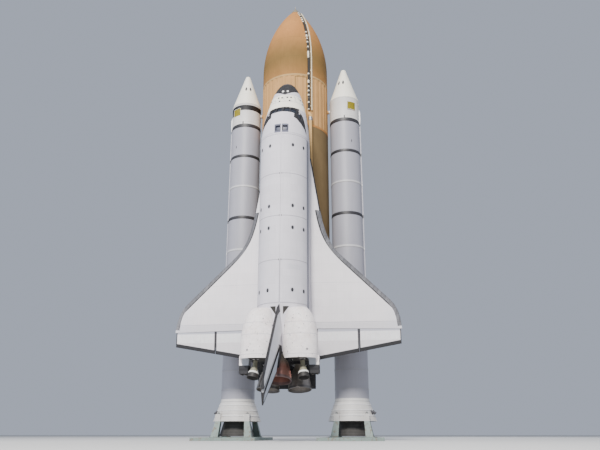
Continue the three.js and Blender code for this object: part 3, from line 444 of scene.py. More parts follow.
def basis(axis):
    """Two directions square to an axis and to each other."""
    axis = axis.normalized()
    helper = Vector((0, 0, 1)) if abs(axis.z) < 0.9 else Vector((1, 0, 0))
    first = axis.cross(helper).normalized()
    return first, axis.cross(first)


def turned(start, axis, profile, sides=48, whole=False):
    """A surface of revolution from [distance, radius] pairs in inches. A whole one ends where it
    starts, as a tube with a wall does."""
    axis = axis.normalized()
    u, v = basis(axis)
    rows = []
    for distance, radius in profile:
        centre = start + axis * (distance * INCH)
        turn = (2 * math.pi * i / sides for i in range(sides))
        rows.append([centre + (u * math.cos(a) + v * math.sin(a)) * (radius * INCH) for a in turn])
    return skin(rows, closed=True, round_trip=whole)


def tube(path, radius, sides):
    """A round tube through points, its radius in inches."""
    rows = []
    for i, point in enumerate(path):
        before, after = path[max(i - 1, 0)], path[min(i + 1, len(path) - 1)]
        along = (after - before).normalized()
        if i == 0:
            u, v = basis(along)
        else:
            u = (u - along * u.dot(along)).normalized()
            v = along.cross(u)
        turn = (2 * math.pi * k / sides for k in range(sides))
        rows.append([point + (u * math.cos(a) + v * math.sin(a)) * (radius * INCH) for a in turn])
    return skin(rows, closed=True, capped=True)


def block(origin, x, y, z):
    """A box of stations."""
    corners = [(a, b, c) for a in x for b in y for c in z]
    faces = [[0, 1, 3, 2], [4, 6, 7, 5], [0, 4, 5, 1], [2, 3, 7, 6], [0, 2, 6, 4], [1, 5, 7, 3]]
    return Shape().add([world(origin, corner) for corner in corners], faces)


def band(spots, width, height, loop=False, square=False):
    """A raised strip over (point, normal) spots, sizes in inches, bevelled unless it is square."""
    rows = []
    count = len(spots)
    half = [(-0.5, -SUNK), (-0.5, height)]
    if not square:
        half = [(-0.5, -SUNK), (-0.5, 0.6 * height), (-0.4, height)]
    profile = half + [(-a, h) for a, h in reversed(half)]
    for i, (point, normal) in enumerate(spots):
        before = spots[(i - 1) % count if loop else max(i - 1, 0)][0]
        after = spots[(i + 1) % count if loop else min(i + 1, count - 1)][0]
        aside = normal.cross((after - before).normalized()).normalized()
        rows.append([point + aside * (a * width * INCH) + normal * (h * INCH) for a, h in profile])
    return skin(rows, closed=True, round_trip=loop, capped=not loop)


def stud(spot, profile, sides=16, lean=None):
    """A turned fitting that stands on a spot, from [height, radius] pairs in inches."""
    point, normal = spot
    return turned(point, lean or normal, profile, sides)


def oval(spot, along, length, width, profile, sides=20):
    """A fitting on a spot, longer in one direction, from [height, share of its size] pairs."""
    point, normal = spot
    across = normal.cross(along).normalized()
    along = across.cross(normal)
    rows = []
    for height, share in profile:
        centre = point + normal * (height * INCH)
        rows.append([
            centre
            + along * (math.cos(a) * share * length / 2 * INCH)
            + across * (math.sin(a) * share * width / 2 * INCH)
            for a in (2 * math.pi * i / sides for i in range(sides))
        ])
    return skin(rows, closed=True, capped=True)


def clean_mesh(name, shape):
    """A mesh without doubled points or empty faces, all its faces outward."""
    mesh = bpy.data.meshes.new(name)
    mesh.from_pydata([tuple(p) for p in shape.points], [], shape.faces)
    mesh.validate()
    work = bmesh.new()
    work.from_mesh(mesh)
    bmesh.ops.remove_doubles(work, verts=work.verts, dist=1e-6)
    bmesh.ops.dissolve_degenerate(work, edges=work.edges, dist=1e-7)
    bmesh.ops.recalc_face_normals(work, faces=work.faces)
    work.to_mesh(mesh)
    work.free()
    return mesh


def piece(name, shapes, material, body=WHOLE, bevel=0, stands_for=()):
    """Makes a shape, or several joined, a piece of the object: with a material and on a body."""
    mesh = clean_mesh(name, shapes if isinstance(shapes, Shape) else joined(*shapes))
    mesh.polygons.foreach_set("use_smooth", [True] * len(mesh.polygons))
    mesh.set_sharp_from_angle(angle=math.radians(SHARP_ANGLE))
    mesh.materials.append(material)
    made = bpy.data.objects.new(name, mesh)
    bpy.context.scene.collection.objects.link(made)
    if bevel:
        edge = made.modifiers.new("edge", "BEVEL")
        edge.width = bevel * INCH
        edge.segments = 2
        edge.limit_method = "ANGLE"
    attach(made, body)
    if stands_for:
        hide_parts(*stands_for)


def smooth_skin(node, shapes, material, body=WHOLE):
    """A piece that stands for a node's faceted solid."""
    piece(f"{node}_skin", shapes, material, body, stands_for=[node])


def smooth_group(degrees):
    """Nodes that weld a faceted mesh and shade it smooth, but for the edges over an angle."""
    group = bpy.data.node_groups.new("smooth_shading", "GeometryNodeTree")
    group.interface.new_socket("Geometry", in_out="INPUT", socket_type="NodeSocketGeometry")
    group.interface.new_socket("Geometry", in_out="OUTPUT", socket_type="NodeSocketGeometry")
    start, bare, weld, faces, edges, end = (
        group.nodes.new(kind)
        for kind in (
            "NodeGroupInput",
            "GeometryNodeRemoveAttribute",
            "GeometryNodeMergeByDistance",
            "GeometryNodeSetShadeSmooth",
            "GeometryNodeSetShadeSmooth",
            "NodeGroupOutput",
        )
    )
    bare.inputs["Name"].default_value = "custom_normal"
    weld.inputs["Distance"].default_value = 1e-5
    chain = (start, bare, weld, faces, edges, end)
    for before, after in zip(chain, chain[1:]):
        group.links.new(before.outputs["Geometry"], after.inputs["Geometry"])
    bend = group.nodes.new("GeometryNodeInputMeshEdgeAngle")
    sharp = group.nodes.new("FunctionNodeCompare")
    sharp.operation = "GREATER_THAN"
    sharp.inputs["B"].default_value = math.radians(degrees)
    group.links.new(bend.outputs["Unsigned Angle"], sharp.inputs["A"])
    edges.domain = "EDGE"
    edges.inputs["Shade Smooth"].default_value = False
    group.links.new(sharp.outputs["Result"], edges.inputs["Selection"])
    return group


SMOOTH = smooth_group(SMOOTH_ANGLE)


def repaint(node, material):
    """Gives a carried-over node its material and its smooth shading."""
    made = frame["nodes"][node]
    made.data.materials.clear()
    made.data.materials.append(material)
    made.modifiers.new("smooth", "NODES").node_group = SMOOTH


# How far out the rays start, in inches.
SIDE_VIEW = 300
trees = {}


def cast(node, start, direction):
    """The (point, normal) where a ray first meets a node."""
    if node not in trees:
        trees[node] = BVHTree.FromObject(frame["nodes"][node], bpy.context.evaluated_depsgraph_get())
    point, normal, _, _ = trees[node].ray_cast(start, direction)
    if point is None:
        raise ValueError(f"no surface of {node} on a ray from {tuple(start)}")
    return point, normal


def outside(node, x, degrees, axis_z=BAY_AXIS_Z):
    """The spot of an orbiter node's outside at a station and an angle round the bay's axis."""
    angle = math.radians(degrees)
    outward = towards(0, math.cos(angle), math.sin(angle))
    return cast(node, world(ORBITER, (x, 0, axis_z)) + outward * (SIDE_VIEW * INCH), -outward)


def inside(node, x, degrees):
    """The spot of an orbiter node's inside, seen from the bay's axis."""
    angle = math.radians(degrees)
    outward = towards(0, math.cos(angle), math.sin(angle))
    return cast(node, world(ORBITER, (x, 0, BAY_AXIS_Z)), outward)


def on_top(node, x, y):
    """The spot of an orbiter node that is seen from straight over its back."""
    return cast(node, world(ORBITER, (x, y, 900)), towards(0, 0, -1))


def from_side(node, x, z, sign):
    """The spot of an orbiter node that is seen from straight beside it."""
    return cast(node, world(ORBITER, (x, sign * SIDE_VIEW, z)), towards(0, -sign, 0))


def from_behind(node, x, y, z):
    """The spot of an orbiter node that is seen from a place behind it."""
    return cast(node, world(ORBITER, (x, y, z)), towards(-1, 0, 0))


def hoop(node, x, low, high, width, height, spot=outside):
    """A strip across a node at a station, between two angles."""
    count = max(2, round(abs(high - low) / 3))
    return band([spot(node, x, a) for a in steps(low, high, count)], width, height)


def run(node, degrees, front, back, width, height, spot=outside):
    """A strip along a node at an angle, between two stations."""
    return band([spot(node, x, degrees) for x in steps(front, back, 8)], width, height)


def section(node, point, square_to):
    """The longest outline where a plane cuts a node, as (point, normal) spots."""
    work = bmesh.new()
    work.from_mesh(frame["nodes"][node].data)
    bmesh.ops.remove_doubles(work, verts=work.verts, dist=1e-5)
    parts = [*work.verts, *work.edges, *work.faces]
    cut = bmesh.ops.bisect_plane(work, geom=parts, plane_co=point, plane_no=square_to)["geom_cut"]
    work.normal_update()
    neighbours = {}
    for edge in (part for part in cut if isinstance(part, bmesh.types.BMEdge)):
        for one, other in (edge.verts, reversed(edge.verts)):
            neighbours.setdefault(one, []).append(other)
    loops = []
    while neighbours:
        loop = [next(iter(neighbours))]
        while True:
            ahead = [v for v in neighbours.pop(loop[-1]) if v in neighbours]
            if not ahead:
                break
            loop.append(ahead[0])
        loops.append(loop)
    longest = max(loops, key=len)
    spots = []
    for vertex in longest:
        normal = vertex.normal - square_to * vertex.normal.dot(square_to)
        spots.append((vertex.co.copy(), normal.normalized()))
    work.free()
    return spots


def steps(low, high, count):
    return [low + (high - low) * i / count for i in range(count + 1)]


# Materials of the orbiter.


def hull_material(name, details=(), lined=False):
    """White blankets over black tiles, with the line between them low on the sides. A lined one
    also has the payload bay's lining."""
    paint = Paint(name, WHITE, roughness=0.72)
    blankets(paint, paint.angle(BAY_AXIS_Z) * 1.8, paint.x)
    weathered(paint)
    for detail in details:
        detail(paint)
    front = paint.x.below(600, 60)
    belly = (paint.z - front * 10).below(BELLY_EDGE_Z, 0.8)
    black_tiles(paint, belly, paint.y, paint.x)
    if lined:
        bay_lining(paint)
    return paint.done()


def nose_black(paint):
    """The black tiles round the nose, up to the front of the thruster module."""
    front = (paint.x + abs(paint.y) * 0.55).below(333, 1)
    side = (paint.z + (paint.x - 300) * 0.2).below(345, 1)
    black_tiles(paint, paint.either(front, side), paint.y * 1.1, paint.x)


def window_surround(paint):
    """The black tiles round the windshield and behind its side windows, and the overhead frames."""
    span = abs(paint.y)
    front = (paint.x - span * 0.06).between(414.5, 459.5, 0.8) * span.below(66, 0.8)
    black_tiles(paint, front * paint.z.above(405), paint.y, paint.x)
    lean = paint.x + (paint.z - 439) * 1.3
    side = lean.between(437, 536, 0.8) * paint.z.between(425, 479, 0.8) * span.above(50)
    black_tiles(paint, side, paint.y, paint.x)
    overhead = paint.x.between(OVERHEAD_PANE[0] - 9, OVERHEAD_PANE[1] + 10, 1.5)
    overhead = overhead * span.between(2.4, 30, 1.5) * paint.z.above(440)
    paint.cover(FRAME_BLUE, overhead * 0.9)


def module_tint(paint):
    """The cream tiles of the forward thruster module, with grey stains at its front."""
    upper = paint.x.between(334, 420, 2) * paint.z.above(350, 4)
    paint.cover((0.96, 0.92, 0.79), upper * 0.9)
    stain = paint.x.between(338, 376, 8) * paint.noise(13, 2).above(0.55, 0.12)
    paint.cover(SHADE_GREY, stain * paint.z.above(372, 6) * 0.5)


def module_seams(paint):
    """The joint round the forward thruster module, and the one before the payload bay."""
    upper = paint.z.above(352)
    for x in (334, NOSE_MODULE_BACK_X):
        paint.cover(SEAM_GREY, paint.x.between(x - 0.8, x + 0.8) * upper * 0.9)
    paint.cover(SEAM_GREY, paint.x.between(570.5, 574) * 0.4)


def sill_shade(paint):
    """The blue-grey felt along the sills, darkened as painted shade on the side wall under the doors'
    edge, two dark lines of painted shade in it, and the vent doors below it.
    """
    side = abs(paint.y).above(90, 1)
    strip = paint.z.between(392, 432, 1.5) * side
    paint.cover(SHADE_GREY, strip * 0.6)
    # Two dark lines of painted shade along the sill.
    lines = paint.either(paint.z.between(411, 427, 0.5), paint.z.between(392, 401, 0.5))
    paint.cover((0.07, 0.075, 0.11), lines * side * 0.95)
    vents = paint.x.repeated(182, 24, 700) * paint.z.between(372, 388, 0.4) * side
    inner = paint.x.repeated(182, 21, 700) * paint.z.between(373.6, 386.4, 0.3) * side
    paint.cover(SEAM_GREY, vents * (1 - inner) * 0.8)


def fin_root_painted_shadow(paint):
    """A painted shadow on the hull in the gaps between the fin's root and the front of the pods."""
    behind = paint.x - 1319
    across = abs(paint.y).above(14, 1) * (abs(paint.y) + behind * 0.7).below(38, 1)
    gap = behind.between(0, 32, 1) * across * paint.z.above(480)
    paint.cover((0.02, 0.018, 0.016), gap)


def door_marks(paint):
    """A soft grey halo round each fitting, and a stain behind the last seam to starboard."""
    around = paint.angle(BAY_AXIS_Z)
    for x in FITTING_X:
        for at in (*FITTING_ANGLES, *(180 - a for a in FITTING_ANGLES)):
            off = paint.distance((around - at) * 1.8, paint.x - x)
            paint.cover(SHADE_GREY, off.below(9, 5) * 0.35)
    stain = paint.x.between(1150, 1172, 6) * around.between(40, 75, 8)
    paint.cover(SHADE_GREY, stain * paint.noise(6) * 0.35)


def bay_lining(paint):
    """The quilted lining inside the payload bay's round wall."""
    lining = paint.distance(paint.y, paint.z - BAY_AXIS_Z).below(95, 0.5)
    paint.cover((0.62, 0.63, 0.60), lining)
    quilt = paint.either(paint.x.repeated(24, 0.8), paint.angle(BAY_AXIS_Z).repeated(15, 0.5))
    paint.cover(SEAM_GREY, lining * quilt * 0.5)


def base_heat_shield(paint):
    """Black tiles on the sloping base."""
    slope = (paint.x + (paint.z - 343) * 0.23).above(1526.5, 0.6)
    black_tiles(paint, slope, paint.y, paint.z)


def wing_middle(paint):
    """Height of the wing's widest line, which its black underside reaches."""
    span = abs(paint.y)
    return 282 + (span - 105) * 0.0612 + (689.24 - span * 1.17733) * 0.035


def edge_depth(paint):
    """Inches behind the wing's leading edge, seen from over its back."""
    span = abs(paint.y)
    glove = (paint.x - GLOVE[0] - (span - GLOVE[1]) * GLOVE[2]) / math.hypot(1, GLOVE[2])
    swept = (paint.x - LEADING_APEX_X - span) / math.sqrt(2)
    return paint.math("SMOOTH_MAX", glove, swept, 105)


def wing_material(name):
    paint = Paint(name, WING_WHITE, roughness=0.7)
    blankets(paint, paint.y, paint.x, 30, 0.02)
    weathered(paint, 0.05, 0.05)
    span = abs(paint.y)
    # Painted shade near the wing root, broken up by broad noise.
    paint.cover(SHADE_GREY, span.below(128, 22) * paint.noise(90, 2) * 0.35)
    paint.cover((0.5, 0.5, 0.54), paint.x.above(1356, 3) * 0.5)
    paint.cover(SEAM_GREY, paint.x.between(1353, 1355, 0.4) * 0.7)
    paint.cover(SEAM_GREY, paint.x.between(1190, 1191.6, 0.4) * 0.35)
    paint.cover((0.60, 0.62, 0.70), span.above(410, 40) * 0.3)
    carbon_start = paint.x.above(CARBON_BEND[0][0], 0.4)
    lead = (edge_depth(paint) - carbon_start * CARBON_WIDTH).below(EDGE_STRIP, 0.5)
    under = (paint.z - wing_middle(paint)).below(-1.2, 0.5)
    black_tiles(paint, paint.either(under, lead), paint.y, paint.x)
    return paint.done()


def elevon_material(name):
    paint = Paint(name, WING_WHITE, roughness=0.7)
    blankets(paint, paint.y, paint.x, 24, 0.02)
    weathered(paint)
    span = abs(paint.y)
    trail = 1525.24 - span * 0.1773
    # Painted shade in the gap along the hinge, at the elevon's front edge.
    paint.cover(SHADE_GREY, paint.x.below(1391, 2) * 0.8)
    paint.cover((0.40, 0.40, 0.43), paint.x.above(1428) * (paint.x - trail).below(-13) * 0.3)
    paint.cover(TILE_BLACK, (paint.x - trail).above(-15, 0.6))
    for low, high in ELEVONS.values():
        ends = paint.either(span.between(low, low + 4, 0.4), span.between(high - 4, high, 0.4))
        paint.cover(TILE_BLACK, ends)
    under = (paint.z - wing_middle(paint)).below(0.6, 0.5)
    black_tiles(paint, under, paint.y, paint.x)
    return paint.done()


def carbon_material(name):
    """Grey carbon shells: one every 19 inches of span, with a darker joint strip between."""
    paint = Paint(name, CARBON_GREY, roughness=0.45)
    joint = (paint.y + paint.x * 0.25).repeated(19, 1.4, soft=0.3)
    paint.cover((0.05, 0.05, 0.055), joint * 0.9)
    paint.shade(paint.chance((paint.y + paint.x * 0.25) / 19), 0.18)
    paint.mottle(0.25, 16, 5)
    paint.cover((0.3, 0.3, 0.32), paint.noise(3, 5).above(0.66, 0.05) * 0.3)
    paint.raise_by(joint * -0.25)
    paint.grain(0.08, 0.9, 3)
    paint.roughen(paint.noise(8), 0.6)
    return paint.done()


def fin_lead(paint):
    rise = paint.z - FIN_ROOT_Z
    upright = paint.math("MAXIMUM", rise, 0) * 0.46 + 1308.5
    return paint.math("MAXIMUM", rise + FIN_LEAD_X, upright)


def fin_chord(paint):
    taper = (FIN_ROOT_CHORD - FIN_TIP_CHORD) / (FIN_TIP_Z - FIN_ROOT_Z)
    return FIN_ROOT_CHORD - (paint.z - FIN_ROOT_Z) * taper


def fin_hinge(paint):
    return fin_chord(paint) * 0.6 + (paint.z - FIN_ROOT_Z) + FIN_LEAD_X


def fin_material(name):
    paint = Paint(name, (0.69, 0.70, 0.75), roughness=0.68)
    blankets(paint, paint.z, paint.x, 28, 0.03)
    weathered(paint)
    behind = paint.x - fin_lead(paint)
    paint.cover((0.03, 0.03, 0.036), behind.below(FIN_EDGE, 0.7))
    paint.cover(SEAM_GREY, behind.between(FIN_EDGE, FIN_EDGE + 2, 0.4) * 0.5)
    to_hinge = paint.x - fin_hinge(paint)
    paint.cover(TILE_BLACK, to_hinge.between(-12, 6, 0.6) * paint.z.above(557))
    paint.cover(TILE_BLACK, paint.z.above(812, 0.5))
    shelf = paint.x.above(1470, 2) * paint.z.below(554.5)
    black_tiles(paint, shelf, paint.z, paint.x)
    return paint.done()


def rudder_material(name):
    paint = Paint(name, (0.44, 0.48, 0.56), roughness=0.65)
    blankets(paint, paint.z, paint.x, 22, 0.04)
    weathered(paint)
    behind = paint.x - fin_hinge(paint)
    edge = paint.either(
        behind.below(16, 0.6),
        (behind - fin_chord(paint) * 0.4).above(-7, 0.6),
        paint.z.below(RUDDER_Z[0] + 9),
        paint.z.above(RUDDER_Z[1] - 5),
        paint.z.between(682, 685, 0.4),
        abs(paint.y).below(0.6, 0.1),
    )
    paint.cover(TILE_BLACK, edge)
    return paint.done()


def pod_material(name):
    """Small white tiles in a faint grid, grey vents, painted shadow over the rear, painted shade on the
    inner face of the thruster housing, and black thruster tiles.
    """
    paint = Paint(name, POD_WHITE, roughness=0.6)
    span = abs(paint.y)
    around = paint.math("ARCTAN2", paint.z - 490, span - 82) * DEGREES
    gap, tone = tiles(paint, around, paint.x, 8)
    paint.shade(tone, 0.06)
    paint.cover(SEAM_GREY, gap * 0.3)
    weathered(paint, 0.05, 0.06)
    rings = (paint.x.between(x, x + 1.6, 0.3) for x in (1385, 1430, 1504))
    paint.cover(SEAM_GREY, paint.either(*rings) * 0.6)
    rosy = paint.noise(34, 2).above(0.55, 0.1)
    paint.cover((0.78, 0.66, 0.62), rosy * paint.x.below(1480, 30) * 0.3)
    spots = paint.noise(7, 1).above(0.725, 0.01)
    paint.cover((0.12, 0.12, 0.14), spots * paint.x.above(1350) * 0.8)
    for x, at, size in ((1396, 158, 4.5), (1489, 62, 4), (1372, 120, 2.5)):
        off = paint.distance((around - at) * 1.05, paint.x - x)
        paint.cover((0.10, 0.10, 0.12), off.below(size, 0.8) * 0.85)
    # Painted shadow: the pod's rear face and the hollow round the engine drawn near black.
    paint.cover((0.015, 0.014, 0.013), paint.x.above(POD_BACK_X - 0.6, 0.4))
    # Painted shade: the housing's inner face grey, its outer face kept white.
    housing = span.above(110, 1) * paint.x.above(POD_BACK_X - 0.3, 0.2)
    paint.cover((0.36, 0.38, 0.42), housing)
    paint.cover(POD_WHITE, housing * span.above(140, 1))
    low = paint.z.below(463.5) * span.above(110)
    end = paint.x.above(HOUSING_BLACK_X) * span.above(110)
    black_tiles(paint, paint.either(low, end), paint.z, paint.x)
    return paint.done()


def tile_material(name):
    paint = Paint(name, TILE_BLACK, roughness=0.5)
    black_tiles(paint, paint.x.above(0), paint.y, paint.x)
    paint.mottle(0.2, 30)
    return paint.done()


def cap_material(name):
    """The nose cap: grey carbon, with a painted bluish sky reflection at its tip."""
    paint = Paint(name, (0.07, 0.07, 0.08), roughness=0.5)
    paint.mottle(0.3, 10, 4)
    # Painted reflection of the sky, bluish grey at the tip.
    paint.cover((0.25, 0.25, 0.32), paint.x.below(245, 6) * 0.4)
    paint.cover(SEAL_BLACK, paint.x.above(255.6, 0.5))
    paint.grain(0.05, 1, 3)
    return paint.done()


def glass_material(name, colour=(0.012, 0.015, 0.025), roughness=0.12):
    """Dark window glass with faint layers."""
    paint = Paint(name, colour, roughness)
    paint.mottle(0.3, 25, 2)
    paint.cover((0.03, 0.035, 0.05), paint.noise(12, 3) * 0.35)
    paint.shader.inputs["IOR"].default_value = 1.5
    return paint.done()


def cabin_material(name):
    paint = Paint(name, (0.25, 0.26, 0.28), roughness=0.7)
    rack = paint.either(paint.y.repeated(9, 0.5), paint.z.repeated(7, 0.5))
    paint.cover((0.05, 0.05, 0.06), rack * 0.8)
    switches = paint.chance(paint.y / 1.5, paint.z / 1.5, paint.x / 4).above(0.8, 0.02)
    paint.cover((0.5, 0.5, 0.48), switches * 0.5)
    paint.mottle(0.2, 12)
    return paint.done()


def metal_material(name, colour=STEEL, roughness=0.38, origin=ORBITER):
    paint = Paint(name, colour, roughness, 0.9, origin)
    paint.mottle(0.2, 9, 4)
    paint.mottle(0.12, 2, 3, (20, 1, 1))
    paint.roughen(paint.noise(5, 3), roughness + 0.25)
    paint.grain(0.04, 0.6)
    return paint.done()


# Materials of the tank and boosters.


def foam(paint):
    """Sprayed foam: fine grain, and broad tanned patches."""
    paint.shader.inputs["Specular IOR Level"].default_value = 0.15
    paint.mottle(0.16, 60, 5)
    paint.mottle(0.10, 8, 4, (6, 1, 1))
    paint.mottle(0.06, 3, 2)
    paint.grain(0.35, 2.2, 4)
    paint.grain(0.08, 0.6, 2)


def tank_material(name):
    """The tank's foam: orange at the nose, olive towards the intertank, tan on it, and brown below,
    darkened further as painted shade.
    """
    paint = Paint(name, FOAM_ORANGE, 0.88, origin=TANK)
    paint.cover(FOAM_OLIVE, paint.x.between(640, 850, 110) * 0.8)
    paint.cover(FOAM_TAN, paint.x.between(*INTERTANK_X, 3) * 0.9)
    # Painted shade: the hydrogen tank's brown drawn darker than its foam.
    paint.cover(FOAM_SHADED_BROWN, paint.x.above(INTERTANK_X[1], 3) * 0.85)
    around = paint.angle()
    foam(paint)
    rings = (paint.x.between(x - 1, x + 1, 0.5) for x in TANK_RINGS_X)
    paint.cover(FOAM_OLIVE, paint.either(*rings) * 0.35)
    panel = paint.x.between(862, 1108, 0.5) * around.between(62, 83, 0.3)
    inner = paint.x.between(866, 1104, 0.5) * around.between(63.3, 81.7, 0.3)
    paint.cover(FOAM_OLIVE, panel * (1 - inner) * 0.8)
    paint.cover((0.05, 0.045, 0.04), paint.x.below(374, 1))
    return paint.done()


def tray_material(name):
    """The cable tray in black and white lengths, and the pale pressure line beside it."""
    paint = Paint(name, FOAM_PALE, 0.75, origin=TANK)
    azimuth = math.radians(TRAY_AZIMUTH)
    aside = paint.y * math.cos(azimuth) - paint.z * math.sin(azimuth)
    paint.cover((0.03, 0.026, 0.022), aside.below(9, 0.5))
    tick = paint.chance(paint.x / 8).below(0.36, 0.02) * aside.below(0.8, 0.4)
    paint.cover((0.78, 0.74, 0.62), tick)
    paint.cover((0.66, 0.58, 0.42), aside.above(9, 0.5))
    paint.mottle(0.2, 4)
    return paint.done()


def plain_foam_material(name, colour=FOAM_PALE):
    paint = Paint(name, colour, 0.85, origin=TANK)
    foam(paint)
    return paint.done()


def booster_paint(name, side, detail, colour=BOOSTER_WHITE):
    paint = Paint(name, colour, 0.5, origin=booster_frame(side))
    paint.mottle(0.05, 80, 4)
    paint.mottle(0.07, 6, 3, (16, 1, 1))
    paint.grain(0.05, 4, 3)
    detail(paint)
    return paint.done()


def cone_marks(paint):
    # Painted light: the cone lighter where it faces up.
    paint.cover(CONE_LIT_CREAM, paint.x.below(398, 1) * 0.8)
    paint.cover((0.30, 0.29, 0.27), paint.x.between(396, 399, 0.4) * 0.6)
    paint.cover((0.35, 0.34, 0.32), paint.x.between(330, 331.4, 0.4) * 0.35)
    paint.mottle(0.05, 14, 4)


def case_bands(paint):
    """Dark joint bands, lighter ones between, and thin lines at the stiffener rings."""
    for x in (CASE_RINGS_X[0], CASE_BANDS_X[0], CASE_BANDS_X[1]):
        paint.cover(SEAL_BLACK, paint.x.between(x - 8, x + 8, 1.5))
    for x in (*CASE_RINGS_X[1:], CASE_BANDS_X[2]):
        paint.cover((0.56, 0.56, 0.58), paint.x.between(x - 6, x + 3, 0.8) * 0.9)
        paint.cover((0.28, 0.28, 0.29), paint.x.between(x + 3, x + 6.5, 0.8) * 0.7)
    for x in STIFFENERS_X:
        paint.cover((0.34, 0.34, 0.35), paint.x.between(x - 1.5, x + 1.5, 0.5) * 0.7)


def skirt_bands(side):
    def detail(paint):
        around = paint.math("ARCTAN2", paint.z, paint.y * SIDES[side]) * DEGREES
        paint.cover((0.3, 0.3, 0.3), paint.x.between(401, 404, 0.5) * 0.7)
        patch = paint.x.between(*PATCH_X) * around.between(*PATCH_ANGLES, 0.4)
        if side == "left":
            paint.cover((0.008, 0.008, 0.01), paint.x.between(408, 437, 0.8))
            paint.cover((0.02, 0.02, 0.022), paint.x.between(420, 458) * around.between(22, 40))
        else:
            foot = paint.x.between(462, 471) * around.between(*PATCH_ANGLES, 0.4)
            paint.cover((0.30, 0.22, 0.20), foot)
        paint.cover(PATCH_OLIVE, patch)
        paint.cover((0.10, 0.09, 0.03), patch * paint.noise(9).above(0.6, 0.05) * 0.5)
        paint.cover(SEAL_BLACK, paint.x.above(514, 0.5))
        paint.cover((0.4, 0.4, 0.4), paint.x.between(500, 503, 0.4) * around.above(0) * 0.4)

    return detail


def aft_skirt_marks(paint):
    paint.cover(BAND_GREY, paint.x.between(1849, 1852, 0.5) * 0.8)
    paint.cover(BAND_GREY, paint.x.between(1898, 1900, 0.5) * 0.5)
    paint.cover((0.30, 0.27, 0.24), paint.x.above(1870, 50) * paint.noise(30, 5) * 0.5)


def deck_material(name):
    """Grey-green painted steel with rust along its plates' joints."""
    paint = Paint(name, DECK_GREEN, 0.55, 0, TANK)
    paint.mottle(0.25, 40, 5)
    seams = paint.either(paint.y.repeated(42, 0.8), paint.z.repeated(42, 0.8))
    paint.cover((0.08, 0.09, 0.085), seams * 0.8)
    rust = paint.noise(11, 6).above(0.6, 0.08)
    paint.cover((0.22, 0.10, 0.045), rust * 0.45)
    paint.roughen(rust, 0.85)
    paint.grain(0.12, 1.5, 4)
    return paint.done()


def liner_material(name, origin):
    paint = Paint(name, (0.05, 0.048, 0.046), 0.8, origin=origin)
    paint.mottle(0.4, 12, 5)
    paint.cover((0.14, 0.13, 0.12), paint.x.repeated(11, 0.7) * 0.6)
    paint.grain(0.15, 1, 3)
    return paint.done()


# Smooth surfaces that stand for the tank's and the boosters' faceted solids.

DOWN = Vector((0, 0, -1))
# How far a skin stops short of its neighbour.
GAP = 0.05
# columns: station, radius
SPIKE = (
    (322.5, 0), (322.5, 1), (338, 1.8), (340, 5), (346, 9), (352, 15), (362, 20), (371, 23.5), (371, 0),
)
CONE = ((200, 0), (200.6, 4.5), (203, 8.6), (206.5, 11.4), (210, 13), (395, 73), (401, 73), (401, 0))
FORWARD_SKIRT = (
    (401.05, 0), (401.05, 73), (403, 73.6), (406, 73.6), (407, 73),
    (516, 73), (517, 73.7), (522.9, 73.7), (522.95, 0),
)
NOZZLE = (
    (1848, 0), (1848, 30), (1866, 32), (1890, 41), (1910, 50), (1950, 63.2), (1986, 73.6),
    (1990, 74.8), (1990, 72), (1950, 60), (1910, 46.5), (1890, 36), (1872, 28), (1868, 0),
)


def lathe(origin, profile, sides, whole=False):
    """A surface of revolution round a frame's own axis, from [station, radius] pairs."""
    return turned(world(origin, (0, 0, 0)), DOWN, profile, sides, whole)


def arc(radius, low, high, count, middle=0):
    """[distance, radius] pairs of a ball, between two angles from the axis in degrees."""
    turn = steps(math.radians(low), math.radians(high), count)
    return [(middle + radius * math.cos(a), radius * math.sin(a)) for a in turn]


def ogive_radius(x):
    behind = OGIVE_BACK_X - min(x, OGIVE_BACK_X)
    return TANK_RADIUS - OGIVE_RADIUS + math.sqrt(OGIVE_RADIUS**2 - behind**2)


def tank_skins(foam_look):
    ogive = [(x, ogive_radius(x)) for x in steps(OGIVE_FRONT_X + GAP, OGIVE_BACK_X, 40)]
    back = INTERTANK_X[0] - GAP
    oxygen = [(ogive[0][0], 0), *ogive, (back, TANK_RADIUS), (back, 0)]
    smooth_skin("oxygen_tank", lathe(TANK, oxygen, 128), foam_look)
    dome = [
        (DOME_X[0] + (DOME_X[1] - DOME_X[0]) * math.sin(a), TANK_RADIUS * math.cos(a))
        for a in steps(0, math.pi / 2, 16)
    ]
    front = INTERTANK_X[1] + GAP
    hydrogen = [(front, 0), (front, TANK_RADIUS), *dome]
    smooth_skin("hydrogen_tank", lathe(TANK, hydrogen, 128), foam_look)


def spike(metal):
    smooth_skin("nose_spike", lathe(TANK, SPIKE, 64), metal)


def case_profile():
    """A motor case with its raised joint and stiffener rings."""
    front, back = CASE_X
    points = [(front, 0), (front, BOOSTER_RADIUS)]
    top = BOOSTER_RADIUS + 1.2
    for x in (*CASE_RINGS_X, *CASE_BANDS_X, *STIFFENERS_X):
        points += [(x - 3, BOOSTER_RADIUS), (x - 2.6, top), (x + 2.6, top), (x + 3, BOOSTER_RADIUS)]
    return sorted(points, key=lambda point: point[0]) + [(back, BOOSTER_RADIUS), (back, 0)]


